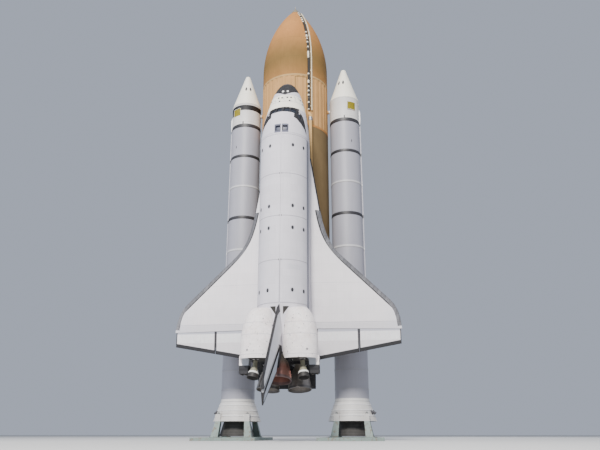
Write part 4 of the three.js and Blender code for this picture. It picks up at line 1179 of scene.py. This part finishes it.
def booster_skins(side):
    origin, sign = booster_frame(side), SIDES[side]
    boss_x = BOOSTER_BOSS_X - BOOSTER_X
    boss = tube([world(origin, (boss_x, -sign * y, 0)) for y in (60, 70, 78.4)], 9, 24)
    tunnel = block(origin, (535, 1501), (sign * 69, sign * 78), (-6, 6))
    ball = lathe(origin, arc(24, 180, 0, 16, 1830), 48)
    cone, skirt, case = (lathe(origin, shape, 96) for shape in (CONE, FORWARD_SKIRT, case_profile()))
    for node, paint_name, shapes, detail, colour in (
        ("nose_cone", "cone_paint", cone, cone_marks, BOOSTER_WHITE),
        ("forward_skirt", "skirt_paint", [skirt, boss], skirt_bands(side), BOOSTER_WHITE),
        ("motor_case", "case_paint", [case, tunnel, ball], case_bands, CASE_SHADED_LILAC),
    ):
        look = booster_paint(f"{paint_name}_{side}", side, detail, colour)
        smooth_skin(f"{node}_{side}", shapes, look)
    nozzle = f"booster_nozzle_{side}"
    liner = liner_material(f"nozzle_liner_{side}", origin)
    smooth_skin(nozzle, lathe(origin, NOZZLE, 96), liner, nozzle)
    repaint(f"aft_skirt_{side}", booster_paint(f"aft_skirt_paint_{side}", side, aft_skirt_marks))


# Engines: [distance down the axis, radius] pairs, and angles in degrees.

ENGINE_HEAD = ((6, 0), (6, 7), (16, 16), (46, 14))
ENGINE_RIM = ((153, 44.2), (153, 46), (157, 46.8), (158.2, 46), (158.2, 43.6), (156, 43.2))
ENGINE_BANDS = (82, 92, 103, 115, 128, 141)
ENGINE_BAND = ((-1.1, -0.4), (-0.8, 1), (0.8, 1.2), (1.1, -0.3))
ENGINE_TINTS = {"1": (0.30, 0.09, 0.06)}
COOLANT_LINES = (40, 160, 280)
POD_RIM = ((50, 15.8), (49.6, 17.4), (51, 18.4), (55, 19.3), (56.6, 19), (56.6, 17.6))


def aim(up, out):
    """The row frame's direction of an engine's axis, canted up and outward in degrees."""
    p, w = math.radians(up), math.radians(out)
    return towards(math.cos(p) * math.cos(w), math.cos(p) * math.sin(w), math.sin(p))


def at_place(at):
    """The frame whose zero is a place of the orbiter."""
    return tuple(a + b for a, b in zip(at, ORBITER))


def along_axis(paint, axis):
    """Inches from a paint's origin along an axis of the row frame."""
    direction = (-axis.z, axis.x, -axis.y)
    inputs = {0: paint.place, 1: direction}
    made = paint.node("ShaderNodeVectorMath", inputs, operation="DOT_PRODUCT")
    return Field(paint, made.outputs["Value"])


def bell_material(name, at, axis, tint=None):
    """Heat-stained metal with fine tubes down the bell, and a pale dome over it."""
    paint = Paint(name, (0.34, 0.31, 0.28), 0.38, 0.85, at)
    along = along_axis(paint, axis)
    paint.mottle(0.25, 7, 4)
    paint.cover((0.45, 0.40, 0.32), along.between(60, 90, 18) * 0.6)
    if tint:
        paint.cover(tint, along.above(96, 20) * 0.7)
    paint.cover((0.10, 0.10, 0.11), along.above(148, 2) * 0.6)
    around = paint.math("ARCTAN2", paint.z, paint.y)
    tubes = (around * DEGREES).repeated(3, 0.8, soft=0.6)
    paint.cover((0.12, 0.11, 0.10), tubes * 0.35)
    dome = along.below(58, 0.6)
    paint.cover((0.50, 0.50, 0.50), dome)
    paint.turn_metal(dome, 0.1)
    paint.roughen(dome, 0.7)
    paint.raise_by(tubes * -0.12)
    return paint.done()


def main_engine(number):
    at, up, out = MAIN_ENGINES[number]
    axis = aim(up, out)
    pivot = world(ORBITER, at)
    metal = bell_material(f"engine_{number}_metal", at_place(at), axis, ENGINE_TINTS.get(number))
    dome = arc(DOME_RADIUS - 3.5, 13, 33, 8) + arc(DOME_RADIUS, 33, 14, 8)
    bell = smooth_profile(BELL, 16)
    wall = [(x, radius - BELL_WALL) for x, radius in reversed(bell)]
    shapes = [turned(pivot, axis, [*ENGINE_HEAD, *dome, *bell, *wall, (66, 8), (64, 0)], 72)]
    rings = []
    for x in ENGINE_BANDS:
        radius = bell_radius(bell, x)
        rings.append([(x + ahead, radius + rise) for ahead, rise in ENGINE_BAND])
    shapes += [turned(pivot, axis, ring, 72, whole=True) for ring in (*rings, ENGINE_RIM)]
    u, v = basis(axis)
    for turn in COOLANT_LINES:
        a = math.radians(turn)
        outward = u * math.cos(a) + v * math.sin(a)
        path = [
            pivot + axis * (x * INCH) + outward * ((bell_radius(bell, x) + 1.6) * INCH)
            for x in steps(78, 153, 12)
        ]
        shapes.append(tube(path, 1.3, 10))
    node = f"main_engine_{number}"
    smooth_skin(node, shapes, metal, node)


def smooth_profile(points, count):
    """More [distance, radius] pairs on a smooth curve through the given ones."""
    out = []
    for i in range(len(points) - 1):
        p0, p1 = points[max(i - 1, 0)], points[i]
        p2, p3 = points[i + 1], points[min(i + 2, len(points) - 1)]
        for k in range(count // (len(points) - 1)):
            t = k / (count // (len(points) - 1))
            out.append(tuple(
                0.5 * (2 * p1[j] + (p2[j] - p0[j]) * t + (2 * p0[j] - 5 * p1[j] + 4 * p2[j] - p3[j]) * t**2
                       + (3 * p1[j] - p0[j] - 3 * p2[j] + p3[j]) * t**3)
                for j in (0, 1)
            ))
    return [*out, tuple(points[-1])]


def bell_radius(profile, distance):
    for (a, ra), (b, rb) in zip(profile, profile[1:]):
        if a <= distance <= b:
            return ra + (rb - ra) * (distance - a) / (b - a)
    return profile[-1][1]


def pod_bell(side):
    (x, y, z), up, out = POD_ENGINE
    at = (x, y * SIDES[side], z)
    axis = aim(up, out * SIDES[side])
    pivot = world(ORBITER, at)
    paint = Paint(f"pod_bell_{side}", (0.27, 0.26, 0.19), 0.55, 0.2, at_place(at))
    along = along_axis(paint, axis)
    paint.cover((0.035, 0.033, 0.032), along.above(56, 0.6))
    paint.mottle(0.3, 6, 4)
    paint.raise_by(along.repeated(6, 0.8) * -0.15)
    paint.grain(0.05, 1)
    bell = smooth_profile(POD_BELL, 12)
    wall = [(x, radius - 1.5) for x, radius in reversed(bell)]
    profile = [(7, 0), (7, 8), (12, 8.5), *bell, *wall, (20, 0)]
    node = f"oms_nozzle_{side}"
    smooth_skin(node, turned(pivot, axis, profile, 64), paint.done(), node)
    rim_look = plain_foam_material(f"pod_bell_rim_{side}", (0.8, 0.8, 0.76))
    piece(f"{node}_rim", turned(pivot, axis, POD_RIM, 64, whole=True), rim_look, node)


FORWARD_MARKS = (module_tint, module_seams, nose_black, window_surround)


def paint_nodes():
    """Materials of the CAD nodes that keep their own shape."""
    metal = metal_material("fitting_metal")
    elevon = elevon_material("elevon_blanket")
    rear_marks = (sill_shade, fin_root_painted_shadow, base_heat_shield)
    looks = {
        "nose_cap": cap_material("nose_cap_carbon"),
        "forward_fuselage": hull_material("forward_blanket", FORWARD_MARKS),
        "crew_hatch": hull_material("hatch_blanket"),
        "mid_fuselage": hull_material("mid_blanket", [sill_shade], lined=True),
        "aft_fuselage": hull_material("aft_blanket", rear_marks),
        "windshield": glass_material("windshield_glass"),
        "overhead_windows": glass_material("overhead_glass", (0.06, 0.07, 0.12), 0.45),
        "flight_deck": cabin_material("cabin_panels"),
        "body_flap": tile_material("flap_tiles"),
        "fin": fin_material("fin_blanket"),
        "rudder_spar": metal_material("spar_metal"),
        "intertank": tank_material("intertank_foam"),
        "cable_tray": tray_material("tray_paint"),
        "oxygen_feedline": plain_foam_material("feedline_foam"),
        "bipod": metal,
        "aft_struts": metal,
    }
    paired = {
        "bay_door": hull_material("door_blanket", [sill_shade, door_marks], lined=True),
        "wing": wing_material("wing_blanket"),
        "elevon_inboard": elevon,
        "elevon_outboard": elevon,
        "leading_edge": carbon_material("wing_carbon"),
        "speed_brake": rudder_material("rudder_blanket"),
        "oms_pod": pod_material("pod_tiles"),
        "attach_ring": metal,
        "launch_mount": deck_material("deck_paint"),
    }
    for side in SIDES:
        looks[f"umbilical_{side}"] = plain_foam_material(f"umbilical_foam_{side}")
        looks.update({f"{node}_{side}": look for node, look in paired.items()})
    looks.update({f"gimbal_{number}": metal for number in MAIN_ENGINES})
    for node, look in looks.items():
        repaint(node, look)


# Fittings of the orbiter: [height, radius] pairs of the round ones, [height, share of its size]
# pairs of the oval ones.

FITTING_DISH = (
    (-0.6, 1.1), (0.3, 1.1), (0.6, 1), (0.5, 0.9), (0.15, 0.85), (0.15, 0.4), (0.7, 0.3), (0.8, 0),
)
PORT_DISH = ((-0.4, 4.4), (0.35, 4.4), (0.6, 3.9), (0.5, 3.3), (0.12, 3.1), (0.12, 0))
SMALL_BELL = ((-1, 3.2), (3.6, 4.6), (3.6, 4), (0.3, 2.5), (0.3, 0))
COVER = ((-0.5, 1), (0.5, 1), (0.8, 0.9), (0.8, 0))
HATCH_WINDOW_RIM = ((-0.4, 6.4), (0.7, 6.4), (1, 5.8), (0.9, 5), (0.2, 4.9))
HATCH_WINDOW = ((-0.2, 5.2), (0.35, 5.1), (0.5, 0))
AIRLOCK = ((-0.5, 23), (2.2, 23), (3, 21.5), (3, 19), (0.9, 18), (1.6, 6), (3.4, 5), (3.6, 0))
CONNECTOR = ((-0.5, 4.6), (0.9, 4.6), (1.1, 3.2), (2.2, 3), (2.2, 2.2), (0.8, 2), (0.8, 0))
# columns: station, angle round the nose
NOSE_PORTS = ((351, 66), (353, 80), (373, 73), (352, 12), (352, 26), (372, 19))


def worn_material(name, colour, roughness=0.6, origin=ORBITER):
    """Paint or felt with small stains and a fine grain."""
    paint = Paint(name, colour, roughness, origin=origin)
    paint.mottle(0.14, 11, 4)
    paint.mottle(0.08, 1.6, 2)
    paint.grain(0.06, 0.8, 3)
    return paint.done()


def radiator_material(name):
    """Silvered panels with fine tubes along them."""
    paint = Paint(name, (0.62, 0.64, 0.66), 0.28, 0.6)
    tubes = paint.angle(BAY_AXIS_Z).repeated(1.1, 0.25, soft=0.15)
    paint.cover((0.40, 0.42, 0.45), tubes * 0.6)
    paint.mottle(0.1, 24, 3)
    paint.raise_by(tubes * 0.1)
    return paint.done()


def mirrored_angle(side, degrees):
    return degrees if side == "right" else 180 - degrees


def cabin_place(x, degrees):
    """Stations of a place on the cabin's outside, by its angle round the rounded section."""
    after = next(i for i, row in enumerate(CABIN_ROWS) if row[0] > x)
    low, high = CABIN_ROWS[after - 1], CABIN_ROWS[after]
    share = (x - low[0]) / (high[0] - low[0])
    _, half, middle, top, power = (a + (b - a) * share for a, b in zip(low, high))
    turn = math.radians(degrees)
    across = half * math.cos(turn) ** (2 / power)
    return x, across, middle + (top - middle) * math.sin(turn) ** (2 / power)


def pane_outline(pane, side, grow):
    """Spots on the cabin round a window's opening, a few inches outside its edge."""
    low_front, low_back, high_front, high_back, low, high = pane
    turn = grow * 0.6
    corners = [
        (low_front - grow, low - turn),
        (low_back + grow, low - turn),
        (high_back + grow, high + turn),
        (high_front - grow, high + turn),
    ]
    spots = []
    for (xa, da), (xb, db) in zip(corners, corners[1:] + corners[:1]):
        for share in steps(0, 1, 6)[:-1]:
            x, y, z = cabin_place(xa + (xb - xa) * share, da + (db - da) * share)
            outer = world(ORBITER, (x, y * SIDES[side], z))
            outward = (outer - world(ORBITER, (x + 35, 0, 395))).normalized()
            spots.append(cast("forward_fuselage", outer + outward * (30 * INCH), -outward))
    return spots


def cabin_fittings(dark, seam, white, metal, glass):
    """Window frames, thruster ports with their covers, and the side hatch's ring and window."""
    for side in SIDES:
        for number, pane in enumerate((*WINDSHIELD_PANES, OVERHEAD_PANE), 1):
            rim = band(pane_outline(pane, side, 0.9), 2.4, 0.4, loop=True)
            piece(f"window_frame_{side}_{number}", rim, dark)
    ports, covers = [], []
    for x, degrees in NOSE_PORTS:
        for side in SIDES:
            spot = outside("forward_fuselage", x, mirrored_angle(side, degrees), 346)
            ports.append(stud(spot, PORT_DISH))
    for degrees in (79, 101):
        spot = outside("forward_fuselage", 309, degrees, 340)
        covers.append(oval(spot, DOWN, 15, 10, COVER))
    piece("nose_thruster_ports", ports, dark)
    piece("nose_thruster_covers", covers, white)
    hatch, left = "crew_hatch", SIDES["left"]
    ring = []
    for turn in (2 * math.pi * i / 36 for i in range(36)):
        x = HATCH_X + HATCH_RING_RADIUS * math.cos(turn)
        ring.append(from_side(hatch, x, HATCH_Z + HATCH_RING_RADIUS * math.sin(turn), left))
    piece("hatch_ring", band(ring, 1.6, 0.35, loop=True), seam, hatch)
    spot = from_side(hatch, HATCH_X, HATCH_Z + 3, left)
    piece("hatch_window_rim", stud(spot, HATCH_WINDOW_RIM, 32), metal, hatch)
    piece("hatch_window", stud(spot, HATCH_WINDOW, 32), glass, hatch)


def door_fittings(side, dark, seam, radiator):
    """Seams, fittings and centre marks on a payload bay door, and the radiators inside it."""
    node = f"bay_door_{side}"

    def turn(degrees):
        return mirrored_angle(side, degrees)

    low, high = (turn(a) for a in DOOR_EDGE_ANGLES)
    front, back = DOOR_ENDS_X
    strips = [hoop(node, x, low, high, 2.6, 0.3) for x in DOOR_SEAMS_X]
    strips += [hoop(node, x, low, high, 1.6, 0.25) for x in DOOR_ENDS_X]
    strips.append(run(node, turn(89.05), DOOR_SEAMS_X[-1], back, 1.3, 0.3))
    strips.append(run(node, turn(13.3), front, back, 1.8, 0.3))
    piece(f"door_seams_{side}", strips, seam, node)
    studs = [
        oval(outside(node, x, turn(a)), DOWN, 15, 10, FITTING_DISH)
        for x in FITTING_X
        for a in FITTING_ANGLES
    ]
    studs += [oval(outside(node, x, turn(87.6)), DOWN, 7, 2.6, FITTING_DISH) for x in DOOR_SEAMS_X]
    piece(f"door_fittings_{side}", studs, dark, node)
    edges = (BAY_ENDS_X[0], *DOOR_SEAMS_X, BAY_ENDS_X[1])
    panels = []
    for front, back in zip(edges, edges[1:]):
        rows = []
        for x in (front + 3, back - 3):
            spots = [inside(node, x, turn(a)) for a in steps(22, 84, 16)]
            near = [point + normal * (0.3 * INCH) for point, normal in spots]
            far = [point + normal * (1.8 * INCH) for point, normal in reversed(spots)]
            rows.append(near + far)
        panels.append(skin(rows, closed=True, capped=True))
    piece(f"radiators_{side}", panels, radiator, node)


def bay_fittings(frame_look, metal):
    """Frames, longerons and keel inside the bay, and the airlock's hatch ring."""
    node = "mid_fuselage"
    ribs = [hoop(node, x, 187, 353, 3, 2.4, inside) for x in steps(604, 1282, 12)]
    ribs += [run(node, a, *BAY_ENDS_X, 4, 1.6, inside) for a in (189.5, 225, 315, 350.5)]
    ribs.append(run(node, 270, *BAY_ENDS_X, 11, 2.8, inside))
    piece("bay_frames", ribs, frame_look)
    spot = from_behind("forward_fuselage", 700, 0, 392)
    piece("airlock_hatch", stud(spot, AIRLOCK, 48), metal)


def quadratic(start, corner, end, share):
    """A place on a bend through three plan points, and its direction there."""
    rest = 1 - share
    plan = list(zip(start, corner, end))
    place = [rest * rest * a + 2 * rest * share * b + share * share * c for a, b, c in plan]
    return place, [rest * (b - a) + share * (c - b) for a, b, c in plan]


def carbon_joints():
    """Where the leading edge's shells meet: plan places, and the edge's direction there."""
    joints = [quadratic(*CARBON_BEND, share) for share in (0.12, 0.3, 0.47, 0.64, 0.82, 1)]
    start = CARBON_BEND[-1][1]
    for y in steps(start + CARBON_SHELL, start + 15 * CARBON_SHELL, 14):
        joints.append(((LEADING_APEX_X + y, y), (1, 1)))
    return joints + [quadratic(*CARBON_TIP_BEND, share) for share in (0.1, 0.36, 0.62, 0.88)]


def wing_fittings(side, carbon, plate):
    """Joint strips round the leading edge, and the row of seal panels over each elevon's hinge."""
    sign = SIDES[side]
    strips = []
    for (x, y), (along_x, along_y) in carbon_joints():
        square_to = towards(along_x, sign * along_y, 0)
        outline = section(f"leading_edge_{side}", world(ORBITER, (x, sign * y, 300)), square_to)
        strips.append(band(outline, 1.2, 0.22, loop=True, square=True))
    piece(f"edge_joints_{side}", strips, carbon)
    for place, (low, high) in ELEVONS.items():
        node = f"elevon_{place}_{side}"
        count = round((high - low - 10) / 18.5)
        pitch = (high - low - 10) / count
        plates = []
        for i in range(count):
            y = sign * (low + 5 + (i + 0.5) * pitch)
            spots = [on_top(node, x, y) for x in (1392, 1400, 1409, 1418, 1427)]
            plates.append(band(spots, pitch - 3, 0.5))
        piece(f"seal_panels_{place}_{side}", plates, plate, node)


def pod_fittings(side, dark, metal):
    """The rear thrusters in a pod's housing, and connectors on the plate below it."""
    sign, node = SIDES[side], f"oms_pod_{side}"
    bells = []
    for y in (126, 142):
        for z in (472, 490):
            bells.append(stud(from_behind(node, 1700, sign * y, z), SMALL_BELL))
    bells += [stud(from_side(node, x, 482, sign), PORT_DISH) for x in (1527, 1542, 1557)]
    piece(f"pod_thrusters_{side}", bells, metal)
    caps = []
    for x in (1438, 1454, 1470):
        for z in (366, 385, 404):
            caps.append(stud(from_side("aft_fuselage", x, z, sign), CONNECTOR))
    piece(f"umbilical_caps_{side}", caps, dark)


def dress_orbiter():
    dark = worn_material("fitting_dark", (0.02, 0.02, 0.026), 0.6)
    seam = worn_material("seam_felt", (0.36, 0.35, 0.40), 0.8)
    white = worn_material("cover_white", (0.85, 0.85, 0.84), 0.5)
    metal = metal_material("thruster_metal", (0.16, 0.15, 0.14), 0.45)
    cabin_fittings(dark, seam, white, metal, glass_material("hatch_glass"))
    radiator = radiator_material("radiator_silver")
    carbon = worn_material("joint_carbon", (0.09, 0.09, 0.10), 0.5)
    plate = worn_material("seal_panel_white", (0.80, 0.80, 0.82), 0.5)
    for side in SIDES:
        door_fittings(side, dark, seam, radiator)
        wing_fittings(side, carbon, plate)
        pod_fittings(side, dark, metal)
    bay_fittings(worn_material("bay_frame_paint", (0.50, 0.52, 0.48)), metal)


# Fittings of the tank, the boosters and the mounts.

# columns: station, half width, distance from the booster's axis
TUNNEL_FRONT = (
    (437, 2.5, 73.6), (447, 6.5, 77.5), (460, 8.5, 80.5), (498, 8.5, 80.5), (511, 7, 79), (522, 6, 78),
)
MOTOR = ((-3, 4), (6, 4.2), (13, 6.4), (13, 5.6), (6, 3.2), (6, 0))
BOLT = ((-0.3, 1.5), (1.3, 1.5), (1.3, 0.8), (3, 0.8), (3.2, 0))
POST_NUT = ((-0.5, 6.5), (3, 6.5), (3.6, 5.6), (3.6, 3.6), (8, 3.4), (8.4, 0))
POST_TOP = (1902, 62, 83)
PLATE_HALF = 19
BOLT_PITCH = 17


def dress_tank():
    """Foam over the intertank's two joints, and the bellows of the feed line."""
    for name, x, colour in zip(("front", "back"), INTERTANK_X, (JOINT_TAN, FOAM_ORANGE)):
        profile = [(x - 6, 165), (x - 4.5, 166.2), (x + 4.5, 166.2), (x + 6, 165)]
        look = plain_foam_material(f"joint_foam_{name}", colour)
        piece(f"intertank_joint_{name}", lathe(TANK, profile, 128, whole=True), look)
    y, z = FEEDLINE_AXIS
    folds = [(-10, 8)]
    for at in (-8, -3.5, 1, 5.5):
        folds += [(at, 10.3), (at + 2, 10.3), (at + 2.6, 9), (at + 4, 9)]
    folds.append((11, 8))
    bellows = [turned(world(TANK, (x, y, z)), DOWN, folds, 32, whole=True) for x in BELLOWS_X]
    piece("feedline_bellows", bellows, metal_material("bellows_metal", origin=TANK))


def round_spot(side, x, degrees, radius=BOOSTER_RADIUS, lean=0):
    """A spot of a booster's round skin: 0 degrees is outboard and 90 is the orbiter's side."""
    sign, turn = SIDES[side], math.radians(degrees)
    across, rise = sign * math.cos(turn), math.sin(turn)
    point = world(booster_frame(side), (x, radius * across, radius * rise))
    return point, towards(-lean, across, rise)


def booster_outline(side, xs, angles):
    """Spots round a patch of a booster's skin."""
    (front, back), (low, high) = xs, angles
    path = [(front, a) for a in steps(low, high, 8)]
    path += [(x, high) for x in steps(front, back, 4)[1:]]
    path += [(back, a) for a in steps(high, low, 8)[1:]]
    path += [(x, low) for x in steps(back, front, 4)[1:-1]]
    return [round_spot(side, x, a) for x, a in path]


def tunnel_fairing(side):
    """The swollen front end of the cable tunnel."""
    origin, sign = booster_frame(side), SIDES[side]
    rows = []
    for x, half, out in TUNNEL_FRONT:
        near = [(70, -half), (out - 2, -half), (out, -half * 0.6)]
        outline = near + [(y, -z) for y, z in reversed(near)]
        rows.append([world(origin, (x, sign * y, z)) for y, z in outline])
    return skin(rows, closed=True, capped=True)


def dress_booster(side):
    origin = booster_frame(side)
    dark = worn_material(f"booster_dark_{side}", (0.05, 0.05, 0.06), 0.5, origin)
    white = worn_material(f"booster_white_{side}", (0.74, 0.74, 0.75), 0.5, origin)
    piece(f"tunnel_fairing_{side}", tunnel_fairing(side), white)
    rim = band(booster_outline(side, PATCH_X, PATCH_ANGLES), 1.4, 0.35, loop=True)
    piece(f"patch_rim_{side}", rim, white)
    slots = []
    for place, length, width in (
        *(((SLOT_X, a, bell_radius(CONE, SLOT_X), 0.32), 25, 8.5) for a in SLOT_ANGLES),
        ((509, 88), 16, 5.5),
        ((639, 62), 14, 4),
    ):
        slots.append(oval(round_spot(side, *place), DOWN, length, width, FITTING_DISH))
    piece(f"booster_ports_{side}", slots, dark)
    rings = []
    front, back = SKIRT_X
    for x in (1864, 1886, 1908):
        radius = BOOSTER_RADIUS + 1 + (SKIRT_WIDE - BOOSTER_RADIUS - 1) * (x - front) / (back - front)
        upper = [(x - 1.6, radius - 1.5), (x - 1.6, radius + 1.2)]
        lower = [(x + 1.6, radius + 2.2), (x + 1.6, radius - 0.5)]
        rings.append(lathe(origin, upper + lower, 96, whole=True))
    piece(f"aft_skirt_rings_{side}", rings, white)
    motors = []
    for degrees in (-27, -9, 9, 27):
        point, out = round_spot(side, 1890, degrees, 90)
        motors.append(stud((point, out), MOTOR, 20, (out + DOWN * 1.1).normalized()))
    piece(f"separation_motors_{side}", motors, dark)


def dress_mount(side):
    """Base plates with their bolts, the nuts over the posts, and a curb round the opening."""
    origin = booster_frame(side)
    steel = metal_material(f"bolt_steel_{side}", (0.30, 0.31, 0.30), 0.5, origin)
    plates, bolts = [], []
    deck = DECK_X[0]
    plate_top = deck - 1.5
    eight = [(a, b) for a in (-1, 0, 1) for b in (-1, 0, 1) if a or b]
    for sign_y in (-1, 1):
        for sign_z in (-1, 1):
            y, z = sign_y * POST_FOOT[0], sign_z * POST_FOOT[1]
            sides = ((y - PLATE_HALF, y + PLATE_HALF), (z - PLATE_HALF, z + PLATE_HALF))
            plates.append(block(origin, (plate_top, deck + 0.1), *sides))
            for at_y, at_z in eight:
                point = world(origin, (plate_top, y + at_y * BOLT_PITCH, z + at_z * BOLT_PITCH))
                bolts.append(stud((point, -DOWN), BOLT, 6))
            top_x, top_y, top_z = POST_TOP
            point = world(origin, (top_x, sign_y * top_y, sign_z * top_z))
            bolts.append(stud((point, -DOWN), POST_NUT, 12))
    curb = [(deck + 0.1, 102.3), (deck - 2.2, 102.3), (deck - 2.2, 105), (deck + 0.1, 105)]
    plates.append(lathe(origin, curb, 96, whole=True))
    green = deck_material(f"plate_paint_{side}")
    piece(f"mount_plates_{side}", plates, green, bevel=0.2)
    piece(f"mount_bolts_{side}", bolts, steel)


# Camera, floor and light.

CAMERA_AT = (4.66, -30.65, 0.3)
CAMERA_YAW = 7.2
CAMERA_PITCH = 19.1
FOCAL_PX = 605
IMAGE_WIDTH_PX = 600
SENSOR_MM = 36


def add_camera():
    data = bpy.data.cameras.new("camera")
    data.sensor_width = SENSOR_MM
    data.lens = SENSOR_MM * FOCAL_PX / IMAGE_WIDTH_PX
    data.clip_start, data.clip_end = 0.5, 400
    camera = bpy.data.objects.new("camera", data)
    camera.location = CAMERA_AT
    camera.rotation_euler = (math.radians(90 + CAMERA_PITCH), 0, math.radians(CAMERA_YAW))
    bpy.context.scene.collection.objects.link(camera)
    bpy.context.scene.camera = camera


def add_floor():
    bpy.ops.mesh.primitive_plane_add(size=600, location=(0, 0, -0.002))
    floor = bpy.context.object
    floor.name = "floor"
    paint = Paint("floor_paint", (0.62, 0.62, 0.61), 0.8)
    paint.mottle(0.02, 500, 3)
    floor.data.materials.append(paint.done())


def add_light(name, location, size, power, colour):
    data = bpy.data.lights.new(name, "AREA")
    data.size = size
    data.energy = power
    data.color = colour
    light = bpy.data.objects.new(name, data)
    light.location = location
    target = Vector((0, 0, 13))
    light.rotation_euler = (target - Vector(location)).to_track_quat("-Z", "Y").to_euler()
    bpy.context.scene.collection.objects.link(light)


def add_lights():
    add_light("key", (-5, -62, 54), 14, 102000, (1, 0.96, 0.91))
    add_light("fill", (-48, -30, 18), 30, 8000, (0.80, 0.87, 1))
    add_light("back", (10, 50, 35), 30, 12000, (0.95, 0.97, 1))
    sky = bpy.data.worlds.new("studio")
    sky.use_nodes = True
    background = sky.node_tree.nodes["Background"]
    background.inputs["Color"].default_value = (0.66, 0.73, 0.88, 1)
    background.inputs["Strength"].default_value = 0.62
    bpy.context.scene.world = sky


paint_nodes()
tank_skins(tank_material("tank_foam"))
spike(metal_material("spike_metal", (0.5, 0.42, 0.3), origin=TANK))
for side in SIDES:
    booster_skins(side)
    pod_bell(side)
for number in MAIN_ENGINES:
    main_engine(number)
dress_orbiter()
dress_tank()
for side in SIDES:
    dress_booster(side)
    dress_mount(side)
add_camera()
add_floor()
add_lights()
